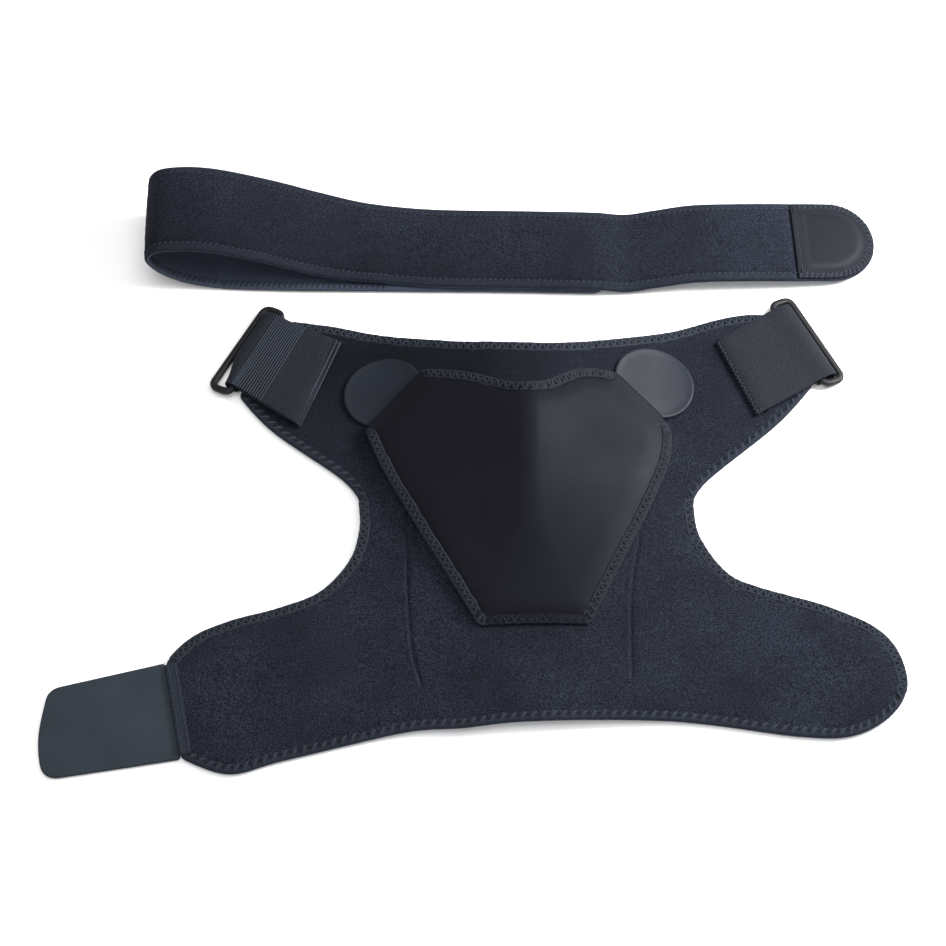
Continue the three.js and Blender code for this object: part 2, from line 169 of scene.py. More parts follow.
def srgb(red, green, blue):
    """A colour given in 0 to 255 display values, in the linear values that shaders take."""
    return tuple(
        c / 12.92 if c <= 0.04045 else ((c + 0.055) / 1.055) ** 2.4
        for c in (red / 255, green / 255, blue / 255)
    )


class BraceColours(bpy.types.PropertyGroup):
    """Colours of the cloths, the thread, the plastic and the floor."""

    plush_dark: FloatVectorProperty(
        name="Plush shade", description="Between the loops of the pile",
        subtype="COLOR", min=0, max=1, default=srgb(10, 12, 18),
    )
    plush_light: FloatVectorProperty(
        name="Plush light", description="Tips of the loops of the pile",
        subtype="COLOR", min=0, max=1, default=srgb(38, 43, 55),
    )
    # The smooth lining is lighter than the plush, and made lighter still as painted light inside the strap's
    # fold
    lining: FloatVectorProperty(
        name="Lining", description="Smooth other side of the plush cloth and the flap",
        subtype="COLOR", min=0, max=1, default=srgb(50, 56, 70),
    )
    flap_cloth: FloatVectorProperty(
        name="Flap cloth", description="Smooth knitted face of the pocket flap",
        subtype="COLOR", min=0, max=1, default=srgb(17, 17, 22),
    )
    hook_cloth: FloatVectorProperty(
        name="Hook cloth", description="Smooth back of the ears and the strap's patch",
        subtype="COLOR", min=0, max=1, default=srgb(24, 28, 36),
    )
    tab_cloth: FloatVectorProperty(
        name="Tab cloth", description="Smooth face of the closing tab",
        subtype="COLOR", min=0, max=1, default=srgb(36, 43, 50),
    )
    webbing: FloatVectorProperty(
        name="Webbing", description="Woven ribbon that holds the rings",
        subtype="COLOR", min=0, max=1, default=srgb(26, 29, 36),
    )
    thread: FloatVectorProperty(
        name="Thread", description="Overlock and seam thread",
        subtype="COLOR", min=0, max=1, default=srgb(41, 46, 55),
    )
    ring_plastic: FloatVectorProperty(
        name="Ring plastic", description="Moulded rings",
        subtype="COLOR", min=0, max=1, default=srgb(16, 17, 20),
    )
    floor: FloatVectorProperty(
        name="Floor", description="Plain pale surface that the brace lies on",
        subtype="COLOR", min=0, max=1, default=(0.9, 0.9, 0.9),
    )


class BraceSizes(bpy.types.PropertyGroup):
    """Sizes of the cloth, its edges and its stitches."""

    panel_thick: FloatProperty(
        name="Body thickness", description="Plush cloth on foam",
        unit="LENGTH", min=0.001, max=0.01, default=0.004,
    )
    flap_thick: FloatProperty(
        name="Flap thickness", description="Smooth cloth on foam",
        unit="LENGTH", min=0.001, max=0.01, default=0.003,
    )
    tab_thick: FloatProperty(
        name="Tab thickness", description="Closing tab at the lower wing",
        unit="LENGTH", min=0.0005, max=0.01, default=0.0022,
    )
    ear_thick: FloatProperty(
        name="Ear thickness", description="Round hook pieces under the flap",
        unit="LENGTH", min=0.0005, max=0.01, default=0.0014,
    )
    strap_thick: FloatProperty(
        name="Strap thickness", description="Chest strap",
        unit="LENGTH", min=0.001, max=0.01, default=0.0035,
    )
    strap_width: FloatProperty(
        name="Strap width", description="Chest strap, edge to edge",
        unit="LENGTH", min=0.02, max=0.08, default=0.051,
    )
    stitch_pitch: FloatProperty(
        name="Stitch pitch", description="Along an overlocked edge",
        unit="LENGTH", min=0.002, max=0.01, default=0.005,
    )
    stitch_band: FloatProperty(
        name="Stitch band", description="From an edge to the inner line of its overlock",
        unit="LENGTH", min=0.002, max=0.01, default=0.0047,
    )
    thread_radius: FloatProperty(
        name="Thread radius", description="Soft overlock thread",
        unit="LENGTH", min=0.0001, max=0.001, default=0.0006,
    )
    seam_pitch: FloatProperty(
        name="Seam pitch", description="Of the straight seams on the tab, patch and webbing",
        unit="LENGTH", min=0.001, max=0.006, default=0.0026,
    )
    stitch_seed: IntProperty(name="Stitch seed", description="Of the stitches' small differences", default=7)


# Plane curves and outlines


def smooth(value):
    """A soft step from 0 to 1."""
    value = np.clip(value, 0, 1)
    return value * value * (3 - 2 * value)


def hump(value, centre, width):
    """1 where a value is at a centre, falling off on both sides of it within about a width."""
    return np.exp(-(((value - centre) / width) ** 2))


def metres(rows):
    """A table in millimetres as an array in metres."""
    return np.array(rows, float) * MM


def unit(vectors):
    """The same directions, one unit long."""
    return vectors / np.linalg.norm(vectors, axis=1)[:, None]


def quarter_turn(directions):
    """Flat directions turned a quarter anticlockwise."""
    return np.column_stack([-directions[:, 1], directions[:, 0]])


def distances(line):
    """Distance of each point of a line from its start, along the line."""
    return np.concatenate([[0], np.cumsum(np.linalg.norm(np.diff(line, axis=0), axis=1))])


def between(at, along, values):
    """Rows of values that are known at distances along a line, at other distances."""
    return np.stack([np.interp(at, along, column) for column in values.T], axis=1)


def spline(table, per_span=14):
    """Points on a smooth curve through a table's rows."""
    table = np.vstack([table[:1], table, table[-1:]])
    t = (np.arange(per_span) / per_span)[:, None]
    spans = [
        0.5 * (2 * b + (c - a) * t + (2 * a - 5 * b + 4 * c - d) * t ** 2 + (3 * b - a - 3 * c + d) * t ** 3)
        for a, b, c, d in zip(table, table[1:], table[2:], table[3:])
    ]
    return np.vstack([*spans, table[-1:]])


def rounded_polygon(corners, per_corner=8):
    """A closed polygon, x, y and rounding in metres, with each corner turned into a short curve."""
    points = []
    t = (np.arange(per_corner + 1) / per_corner)[:, None]
    spots = [np.array(corner[:2]) for corner in corners]
    for i, (_, _, cut) in enumerate(corners):
        here = spots[i]
        ends = []
        for other in (spots[i - 1], spots[(i + 1) % len(spots)]):
            away = other - here
            ends.append(here + away / np.linalg.norm(away) * cut)
        points.append((1 - t) ** 2 * ends[0] + 2 * t * (1 - t) * here + t ** 2 * ends[1])
    return np.vstack(points)


def arc(centre, radius, start, end, count=24):
    """Points on a round arc, angles in degrees."""
    angle = np.radians(np.linspace(start, end, count))
    return np.stack([centre[0] + radius * np.cos(angle), centre[1] + radius * np.sin(angle)], axis=1)


def even_loop(points, count, soften):
    """A closed loop of count even steps, anticlockwise, with its corners softened."""
    area = (points[:, 0] * np.roll(points[:, 1], -1) - np.roll(points[:, 0], -1) * points[:, 1]).sum()
    if area < 0:
        points = points[::-1]
    closed = np.vstack([points, points[:1]])
    along = distances(closed)
    loop = between(np.arange(count) / count * along[-1], along, closed)
    for _ in range(soften):
        loop = (np.roll(loop, 1, axis=0) + 2 * loop + np.roll(loop, -1, axis=0)) / 4
    return loop


def loop_length(points):
    """Length round a closed loop."""
    return np.linalg.norm(np.roll(points, -1, axis=0) - points, axis=1).sum()


def stitched_loop(points, pitch, soften=6):
    """A closed loop with a whole number of stitches and a few steps to each stitch."""
    stitches = round(loop_length(points) / pitch)
    return even_loop(points, stitches * STEPS_PER_STITCH, soften)


def loop_inward(loop):
    """Unit vectors into an anticlockwise loop."""
    return quarter_turn(unit(np.roll(loop, -1, axis=0) - np.roll(loop, 1, axis=0)))


def nearest(points, targets, chunk=2000):
    """Index of and distance to the nearest target of each point."""
    index = np.zeros(len(points), int)
    gap = np.zeros(len(points))
    for start in range(0, len(points), chunk):
        part = points[start:start + chunk]
        far = ((part[:, None] - targets[None]) ** 2).sum(axis=2)
        index[start:start + chunk] = far.argmin(axis=1)
        gap[start:start + chunk] = np.sqrt(far.min(axis=1))
    return index, gap


def hex_grid(low, high, cell):
    """Points of a triangular grid over a box."""
    rise = cell * math.sqrt(0.75)
    rows = np.arange(low[1], high[1], rise)
    columns = np.arange(low[0], high[0], cell)
    x, y = np.meshgrid(columns, rows)
    x[1::2] += cell / 2
    return np.stack([x.ravel(), y.ravel()], axis=1)


# Sheets of cloth: a flat cut with an edge, its upper and lower heights, and a place in the frame


class Cut:
    """A flat cut of cloth: points, their distance from and step along the edge, their place in a stitch."""

    # Share of its offset that a point of an inner row keeps from every edge
    row_share = 0.985
    # How far the grid stays off the innermost row and off the lines, in cells
    row_clear = 0.6
    line_clear = 0.8

    def __init__(self, loop, offsets, cell, lines=()):
        """lines are rows of extra points, such as a dart's, that the grid keeps clear of."""
        self.loop = loop
        self.inward = loop_inward(loop)
        count = len(loop)
        points, depth, step = [loop], [np.zeros(count)], [np.arange(count)]
        for offset in offsets:
            ring = loop + self.inward * offset
            _, gap = nearest(ring, loop)
            keep = gap > offset * self.row_share
            points.append(ring[keep])
            depth.append(np.full(keep.sum(), offset))
            step.append(np.arange(count)[keep])
        grid = hex_grid(loop.min(axis=0), loop.max(axis=0), cell)
        near, gap = nearest(grid, loop)
        inside = ((grid - loop[near]) * self.inward[near]).sum(axis=1) > 0
        keep = inside & (gap > offsets[-1] + self.row_clear * cell)
        if len(lines):
            keep &= nearest(grid, lines)[1] > self.line_clear * cell
            near_line, gap_line = nearest(lines, loop)
            points.append(lines)
            depth.append(gap_line)
            step.append(near_line)
        points.append(grid[keep])
        depth.append(gap[keep])
        step.append(near[keep])
        points, depth, step = np.vstack(points), np.concatenate(depth), np.concatenate(step)
        edges = [(i, (i + 1) % count) for i in range(count)]
        made = delaunay_2d_cdt([Vector(p) for p in points], edges, [], 1, 1e-8)
        source = np.array([rows[0] for rows in made[3]])
        self.points = points[source]
        self.depth = depth[source]
        self.step = step[source]
        self.phase = (self.step % STEPS_PER_STITCH) / STEPS_PER_STITCH
        corners = np.array(made[2])
        a, b, c = (self.points[corners[:, k]] for k in range(3))
        turned = (b[:, 0] - a[:, 0]) * (c[:, 1] - a[:, 1]) < (b[:, 1] - a[:, 1]) * (c[:, 0] - a[:, 0])
        corners[turned] = corners[turned][:, ::-1]
        self.triangles = corners

    def area(self):
        """Flat area in square metres."""
        x, y = self.loop.T
        return abs((x * np.roll(y, -1) - np.roll(x, -1) * y).sum()) / 2

    def size(self):
        """Width and length of the cut's box."""
        return tuple(self.loop.max(axis=0) - self.loop.min(axis=0))


RIM_OFFSETS = np.array((0.15, 0.5, 1.0, 1.6, 2.4, 3.2, 4.0, 4.7, 5.4, 6.4, 8.0)) * MM
HARD_RIM_OFFSETS = np.array((0.1, 0.3, 0.6, 1.0, 1.6, 2.6)) * MM


def overlocked(cut, full, rim, band, groove=0.0003, scallop=0.0002, swell=0.009):
    """Upper and lower heights of a padded cut whose edge is pressed by an overlock."""
    depth = cut.depth
    thick = rim + (full - rim) * smooth((depth - band) / swell)
    bow = np.sqrt(1 - (1 - np.clip(depth / (rim / 2), 0, 1)) ** 2)
    pull = 0.5 + 0.5 * np.cos(2 * math.pi * cut.phase)
    line = hump(depth, band, PRESSED_LINE)
    hollow = hump(depth, band / 2, PRESSED_HOLLOW)
    upper = thick / 2 * (1 + bow) - groove * line - scallop * pull * hollow
    return upper, thick / 2 * (1 - bow)


def dots(cut, steps, spots, radius=0.0008):
    """1 at places in every stitch, given as a share of the stitch and a depth, falling to 0 round them."""
    pitch = steps * np.linalg.norm(cut.loop[1] - cut.loop[0])
    share = (cut.step % steps) / steps
    found = np.zeros(len(cut.points))
    for at, depth in spots:
        along = (np.mod(share - at + 0.5, 1) - 0.5) * pitch
        found = np.maximum(found, np.exp(-((along / radius) ** 2) - ((cut.depth - depth) / radius) ** 2))
    return found


def sewn_tint(cut, band, share):
    """How much of the thread's colour shows along a sewn edge."""
    return share * np.clip((band + TINT_PAST - cut.depth) / TINT_FADE, 0, 1)


def chain_hole_shade(cut, band):
    """1 in the two rows of needle holes between a chain's threads, where painted shade goes."""
    return dots(cut, STEPS_PER_CHAIN, ((0, 0.42 * band), (0.5, 0.75 * band)))


def hard_edged(cut, thick, radius):
    """Upper and lower heights of a thin cut with a small round edge."""
    bow = np.sqrt(1 - (1 - np.clip(cut.depth / radius, 0, 1)) ** 2)
    lost = radius * (1 - bow)
    return np.where(cut.depth > 0, thick - lost, thick / 2), np.where(cut.depth > 0, lost, thick / 2)


def new_object(name, points, faces, material, uv=None, marks=None):
    """A smooth mesh object in the scene, with its place in its mesh."""
    mesh = bpy.data.meshes.new(name)
    mesh.from_pydata([tuple(p) for p in points], [], [tuple(int(i) for i in f) for f in faces])
    mesh.polygons.foreach_set("use_smooth", np.ones(len(mesh.polygons), bool))
    mesh.materials.append(material)
    if uv is not None:
        layer = mesh.uv_layers.new(name="weave")
        corner = np.zeros(len(mesh.loops), np.int32)
        mesh.loops.foreach_get("vertex_index", corner)
        layer.data.foreach_set("uv", uv[corner].astype(np.float32).ravel())
    for key, values in (marks or {}).items():
        layer = mesh.attributes.new(key, "FLOAT", "POINT")
        layer.data.foreach_set("value", values.astype(np.float32))
    mesh.update()
    made = bpy.data.objects.new(name, mesh)
    bpy.context.scene.collection.objects.link(made)
    return made


def sheet_object(name, cut, upper, lower, place, material, lining=None, **marks):
    """A closed sheet: the cut's upper and lower faces, which share its edge. Its points carry the marks."""
    count = len(cut.points)
    free = cut.depth > 0
    below = np.arange(count)
    below[free] = count + np.arange(free.sum())
    points = np.vstack([place(cut.points, upper), place(cut.points[free], lower[free])])
    faces = np.vstack([cut.triangles, below[cut.triangles][:, ::-1]])
    uv = np.vstack([cut.points, cut.points[free]])
    marks = {key: np.concatenate([values, values[free]]) for key, values in marks.items()}
    made = new_object(name, points, faces, material, uv, marks)
    if lining is not None:
        made.data.materials.append(lining)
        under = np.arange(len(faces)) >= len(cut.triangles)
        under &= (cut.depth[np.tile(cut.triangles, (2, 1))] > 0).any(axis=1)
        made.data.polygons.foreach_set("material_index", under.astype(np.int32))
    return made


def declare(piece, body, slot, *nodes):
    """Lets a piece move with a body and stand for solids, which it hides. The slot is not used."""
    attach(piece, body)
    if nodes:
        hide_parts(*nodes)


def declare_sheet(piece, slot, cut, rests_on, *nodes, held="laid"):
    """Lets a sheet move with the brace and stand for solids. The slot and what it rests on are not used."""
    declare(piece, "brace", slot, *nodes)
    cut.size()
    cut.area()


# Forms of the body panel, the flap and the strap


def tent(share, ridge_soft):
    """Height of the crown across the panel: a rounded ridge, straight slopes and a soft foot."""
    away = np.abs(share)
    ridge = 1 - ridge_soft / 2 - away ** 2 / (2 * ridge_soft)
    foot = np.maximum(0, 1 + CROWN_FOOT_SOFT - away) ** 2 / (4 * CROWN_FOOT_SOFT)
    return np.where(away < ridge_soft, ridge, np.where(away < 1 - CROWN_FOOT_SOFT, 1 - away, foot))


def crown(points, ridge_soft=CROWN_RIDGE_SOFT):
    """Height of the body panel's underside."""
    x, y = points.T
    rise = smooth((y - CROWN_LOW_Y) / (CROWN_TOP_Y - CROWN_LOW_Y))
    return (CROWN_HEM + (CROWN_NECK - CROWN_HEM) * rise) * tent(x / CROWN_HALF_WIDTH, ridge_soft)


def on_panel(base):
    """A place function for cuts measured from the panel's centre line, lying at a base height."""
    def place(points, height):
        flat = points + PANEL_ORIGIN
        return np.column_stack([flat, base(points) + height])
    return place


def panel_loop(pitch):
    """The body panel's edge."""
    runs = (NECKLINE, RIGHT_SHOULDER_EDGE, RIGHT_WING_EDGE, LEFT_BAY_EDGE, LEFT_SHOULDER_EDGE)
    return stitched_loop(np.vstack([spline(metres(run)) for run in runs]), pitch)


def flap_base(panel_thick):
    """Height function of the flap's underside over the panel."""
    sewn_y = FLAP_CORNERS[0][1] * MM

    def base(points):
        y = points[:, 1]
        lift = smooth((y - sewn_y) / -sewn_y)
        sharpened = smooth((y - FLAP_RIDGE_Y) / FLAP_RIDGE_RUN)
        soft = CROWN_RIDGE_SOFT + (FLAP_RIDGE_SOFT - CROWN_RIDGE_SOFT) * sharpened
        gap = FLAP_SEWN_GAP + (FLAP_OPEN_GAP - FLAP_SEWN_GAP) * lift
        return crown(points, soft) + panel_thick + gap
    return base


class StrapRoute:
    """The strap's middle line, and places on it by distance along, across and through the strap."""

    # How much lower the near edge lies where the strap is folded back, and between which distances
    fold_lean = 0.006
    lean_rise = (0.225, 0.285)
    lean_fall = (0.355, 0.402)
    steps_per_span = 40

    def __init__(self, thick, width):
        self.thick = thick
        self.width = width
        x, z, drift = metres(STRAP_ROUTE).T
        knots = np.column_stack([x, drift + STRAP_Y, z + thick / 2])
        knots = np.vstack([2 * knots[0] - knots[1], knots, 2 * knots[-1] - knots[-2]])
        t = np.linspace(0, 1, self.steps_per_span, endpoint=False)[:, None]
        spans = []
        for a, b, c, d in zip(knots, knots[1:], knots[2:], knots[3:]):
            first, middle, last = (np.sqrt(np.linalg.norm(q - p)) for p, q in ((a, b), (b, c), (c, d)))
            leave = middle * ((b - a) / first - (c - a) / (first + middle) + (c - b) / middle)
            arrive = middle * ((c - b) / middle - (d - b) / (middle + last) + (d - c) / last)
            spans.append(
                b + leave * t + (3 * (c - b) - 2 * leave - arrive) * t ** 2
                + (2 * (b - c) + leave + arrive) * t ** 3
            )
        self.line = np.vstack([*spans, knots[-2:-1]])
        self.along = distances(self.line)
        self.length = self.along[-1]
        self.tangent = np.gradient(self.line, self.along, axis=0)

    def lean(self, distance):
        """How much lower the near edge lies than the far edge."""
        (start, full), (late, end) = self.lean_rise, self.lean_fall
        rise = smooth((distance - start) / (full - start))
        fall = smooth((end - distance) / (end - late))
        return self.fold_lean * rise * fall

    def place(self, points, height):
        """Points given by distance and offset across, at heights over the strap's inner face."""
        distance, across = points.T
        tangent = unit(between(distance, self.along, self.tangent) * (1, 0, 1))
        outer = np.column_stack([-tangent[:, 2], np.zeros(len(points)), tangent[:, 0]])
        beyond = distance - np.clip(distance, 0, self.length)
        spot = between(distance, self.along, self.line) + tangent * beyond[:, None]
        spot = spot + outer * (height - self.thick / 2)[:, None]
        spot[:, 1] += across
        spot[:, 2] -= self.lean(distance) * (0.5 - across / self.width)
        spot[:, :2] += LAYOUT_MIDDLE
        spot[:, 2] = np.maximum(spot[:, 2], 0)
        return spot


# Stitches and ribs, made by geometry nodes from points that carry their own directions


class NodeBuilder:
    """Adds nodes to a tree and links them."""

    def __init__(self, tree):
        self.tree = tree

    def add(self, kind, links=None, **settings):
        node = self.tree.nodes.new(kind)
        for name, value in settings.items():
            setattr(node, name, value)
        for socket, value in (links or {}).items():
            if isinstance(value, bpy.types.NodeSocket):
                self.tree.links.new(value, node.inputs[socket])
            else:
                node.inputs[socket].default_value = value
        return node

    def times(self, value, factor):
        """A number socket times a factor."""
        return self.add("ShaderNodeMath", {0: value, 1: factor}, operation="MULTIPLY").outputs[0]

    def plus(self, value, other):
        """The sum of two number sockets."""
        return self.add("ShaderNodeMath", {0: value, 1: other}, operation="ADD").outputs[0]

    def vector(self, x, y, z):
        """A vector of three number sockets or numbers."""
        return self.add("ShaderNodeCombineXYZ", {"X": x, "Y": y, "Z": z}).outputs[0]


class PieceTree(NodeBuilder):
    """A geometry node tree that puts one small shape on every point of a piece."""

    def __init__(self, name, sizes):
        super().__init__(bpy.data.node_groups.new(name, "GeometryNodeTree"))
        face = self.tree.interface
        face.new_socket("Geometry", in_out="INPUT", socket_type="NodeSocketGeometry")
        for size in sizes:
            face.new_socket(size, in_out="INPUT", socket_type="NodeSocketFloat")
        face.new_socket("Seed", in_out="INPUT", socket_type="NodeSocketInt")
        face.new_socket("Material", in_out="INPUT", socket_type="NodeSocketMaterial")
        face.new_socket("Geometry", in_out="OUTPUT", socket_type="NodeSocketGeometry")
        self.entry = self.tree.nodes.new("NodeGroupInput")
        self.size = self.entry.outputs

    def strand(self, start, middle, end, radius, steps, sides):
        """A tube along a bent line."""
        line = self.add(
            "GeometryNodeCurveQuadraticBezier",
            {"Start": start, "Middle": middle, "End": end, "Resolution": steps},
        )
        ring = self.add("GeometryNodeCurvePrimitiveCircle", {"Resolution": sides, "Radius": radius})
        tube = self.add(
            "GeometryNodeCurveToMesh",
            {"Curve": line.outputs[0], "Profile Curve": ring.outputs[0], "Fill Caps": True},
        )
        return tube.outputs[0]

    def direction(self, name):
        """A direction that the points carry."""
        node = self.add("GeometryNodeInputNamedAttribute", {"Name": name}, data_type="FLOAT_VECTOR")
        return node.outputs["Attribute"]

    def finish(self, shapes, uneven):
        """Puts the joined shapes on the points, a little uneven in size, as one plain mesh."""
        join = self.add("GeometryNodeJoinGeometry")
        for shape in reversed(shapes):
            self.tree.links.new(shape, join.inputs[0])
        turn = self.add(
            "FunctionNodeAxesToRotation",
            {"Primary Axis": self.direction("up"), "Secondary Axis": self.direction("along")},
            primary_axis="Z", secondary_axis="X",
        )
        scale = self.add(
            "FunctionNodeRandomValue",
            {0: (1 - uneven,) * 3, 1: (1 + uneven,) * 3, "Seed": self.size["Seed"]},
            data_type="FLOAT_VECTOR",
        )
        stretch = self.add(
            "ShaderNodeVectorMath", {0: scale.outputs[0], 1: self.direction("stretch")}, operation="MULTIPLY",
        )
        copies = self.add(
            "GeometryNodeInstanceOnPoints",
            {"Points": self.size["Geometry"], "Instance": join.outputs[0],
             "Rotation": turn.outputs[0], "Scale": stretch.outputs[0]},
        )
        real = self.add("GeometryNodeRealizeInstances", {"Geometry": copies.outputs[0]})
        soft = self.add("GeometryNodeSetShadeSmooth", {"Geometry": real.outputs[0]})
        painted = self.add(
            "GeometryNodeSetMaterial", {"Geometry": soft.outputs[0], "Material": self.size["Material"]},
        )
        self.add("NodeGroupOutput", {0: painted.outputs[0]})
        return self.tree


def overlock_tree():
    """One overlock stitch: a slanted pair of threads that lies over the band inside the edge."""
    tree = PieceTree("overlock stitches", ("Pitch", "Band", "Rim", "Thread"))
    pitch, band, rim, thread = (tree.size[name] for name in ("Pitch", "Band", "Rim", "Thread"))
    threads = [
        tree.strand(
            tree.vector(tree.times(pitch, side - 0.28), tree.times(band, 0.2), tree.times(rim, 0.86)),
            tree.vector(tree.times(pitch, side - 0.1), tree.times(band, 0.45), tree.times(rim, 1.15)),
            tree.vector(tree.times(pitch, side + 0.26), tree.times(band, 0.98), tree.times(rim, 0.88)),
            thread, 5, 5,
        )
        for side in (-0.07, 0.07)
    ]
    return tree.finish(threads, STITCH_UNEVEN)


def chain_tree():
    """One chain stitch: a thread along each side of the band and one that goes across and back."""
    tree = PieceTree("chain stitches", ("Pitch", "Band", "Rim", "Thread"))
    pitch, band, rim, thread = (tree.size[name] for name in ("Pitch", "Band", "Rim", "Thread"))

    def spot(along, across, up):
        lift = tree.plus(rim, tree.times(thread, up))
        return tree.vector(tree.times(pitch, along), tree.times(band, across), lift)
    strands = [
        (spot(-0.56, 0.17, -0.85), spot(0, 0.14, -0.7), spot(0.56, 0.17, -0.85)),
        (spot(-0.56, 0.97, -0.85), spot(0, 1.0, -0.7), spot(0.56, 0.97, -0.85)),
        (spot(-0.5, 0.17, -0.75), spot(-0.25, 0.57, -0.2), spot(0, 0.97, -0.75)),
        (spot(0, 0.97, -0.75), spot(0.25, 0.57, -0.2), spot(0.5, 0.17, -0.75)),
    ]
    return tree.finish([tree.strand(*spots, thread, 3, 5) for spots in strands], STITCH_UNEVEN)


def seam_tree():
    """One straight seam stitch, sunk at both ends."""
    tree = PieceTree("seam stitches", ("Pitch", "Thread"))
    pitch, thread = tree.size["Pitch"], tree.size["Thread"]
    stitch = tree.strand(
        tree.vector(tree.times(pitch, -0.42), 0, tree.times(thread, -0.8)),
        tree.vector(0, 0, tree.times(thread, 1.6)),
        tree.vector(tree.times(pitch, 0.42), 0, tree.times(thread, -0.8)),
        thread, 5, 5,
    )
    return tree.finish([stitch], STITCH_UNEVEN)


def rib_tree():
    """One woven rib across a webbing, one unit long so that the points' stretch gives its length."""
    tree = PieceTree("webbing ribs", ("Rib",))
    rib = tree.strand((0, -0.5, 0), (0, 0, 0), (0, 0.5, 0), tree.size["Rib"], 3, 8)
    return tree.finish([rib], 0.0)


def spread_pieces(name, tree, sizes, spots, material, seed):
    """A plain mesh of a tree's shapes on spots: places, and directions along, up and the stretch."""
    mesh = bpy.data.meshes.new(name + "_spots")
    mesh.from_pydata([tuple(p) for p in spots["place"]], [], [])
    for key in ("along", "up", "stretch"):
        layer = mesh.attributes.new(key, "FLOAT_VECTOR", "POINT")
        layer.data.foreach_set("vector", np.asarray(spots[key], np.float32).ravel())
    holder = bpy.data.objects.new(name + "_holder", mesh)
    bpy.context.scene.collection.objects.link(holder)
    modifier = holder.modifiers.new("pieces", "NODES")
    modifier.node_group = tree
    values = {**sizes, "Seed": seed, "Material": material}
    for item in tree.interface.items_tree:
        if item.in_out == "INPUT" and item.name in values:
            modifier[item.identifier] = values[item.name]
    ready = holder.evaluated_get(bpy.context.evaluated_depsgraph_get())
    made = bpy.data.objects.new(name, bpy.data.meshes.new_from_object(ready))
    made.data.name = name
    bpy.data.objects.remove(holder)
    bpy.data.meshes.remove(mesh)
    bpy.context.scene.collection.objects.link(made)
    return made


def spots_at(places, along, up):
    """Spots at places, with their own directions and no stretch."""
    return {"place": places, "along": unit(along), "up": unit(up), "stretch": np.ones((len(places), 3))}


def edge_spots(loop, place, picked, thick=0.0):
    """Stitch spots on a loop's picked steps. Given the sheet's thickness, they face its other side."""
    inward = loop_inward(loop)[picked]
    along = -quarter_turn(inward)
    flat = loop[picked]
    level = np.full(len(flat), thick)
    here = place(flat, level)
    ahead = place(flat + along * PROBE, level) - place(flat - along * PROBE, level)
    out = here - place(flat + inward * PROBE, level)
    up = np.cross(ahead, -out)
    if thick:
        up = -up
        ahead = -ahead
    return spots_at(here, ahead, up)


def laid_spots(flat, way, place, height):
    """Seam spots on a cut, each along its own way."""
    level = np.full(len(flat), height)
    here = place(flat, level)
    ahead = place(flat + way * PROBE, level) - place(flat - way * PROBE, level)
    return spots_at(here, ahead, place(flat, level + 2 * PROBE) - here)


def line_spots(start, end, pitch, place, height):
    """Seam spots on a straight line of a cut."""
    start, end = np.array(start, float), np.array(end, float)
    long = np.linalg.norm(end - start)
    count = max(2, round(long / pitch))
    share = ((np.arange(count) + 0.5) / count)[:, None]
    return laid_spots(start + (end - start) * share, np.tile((end - start) / long, (count, 1)), place, height)


def inset_spots(loop, place, picked, depth, height, degrees):
    """Seam spots at a distance inside a loop's edge, turned out of the edge's direction."""
    inward = loop_inward(loop)[picked]
    turn = np.radians(degrees)
    way = inward * np.sin(turn) - quarter_turn(inward) * np.cos(turn)
    return laid_spots(loop[picked] + inward * depth, way, place, height)


def zigzag(spots, degrees):
    """The same spots with their stitches turned to one side and the other in turn."""
    angle = np.radians(degrees) * np.where(np.arange(len(spots["place"])) % 2, 1, -1)[:, None]
    side = np.cross(spots["up"], spots["along"])
    return {**spots, "along": spots["along"] * np.cos(angle) + side * np.sin(angle)}


def on_line(points, start, end, within=0.002, clear=0.02):
    """True for each point next to a straight line between two places, a share clear of its ends."""
    start, end = np.array(start, float), np.array(end, float)
    share = ((points - start) @ (end - start)) / ((end - start) @ (end - start))
    away = np.linalg.norm(points - start - share[:, None] * (end - start), axis=1)
    return (share > clear) & (share < 1 - clear) & (away < within)


def joined_spots(*groups):
    """Several groups of spots as one."""
    return {key: np.vstack([group[key] for group in groups]) for key in groups[0]}


# Materials


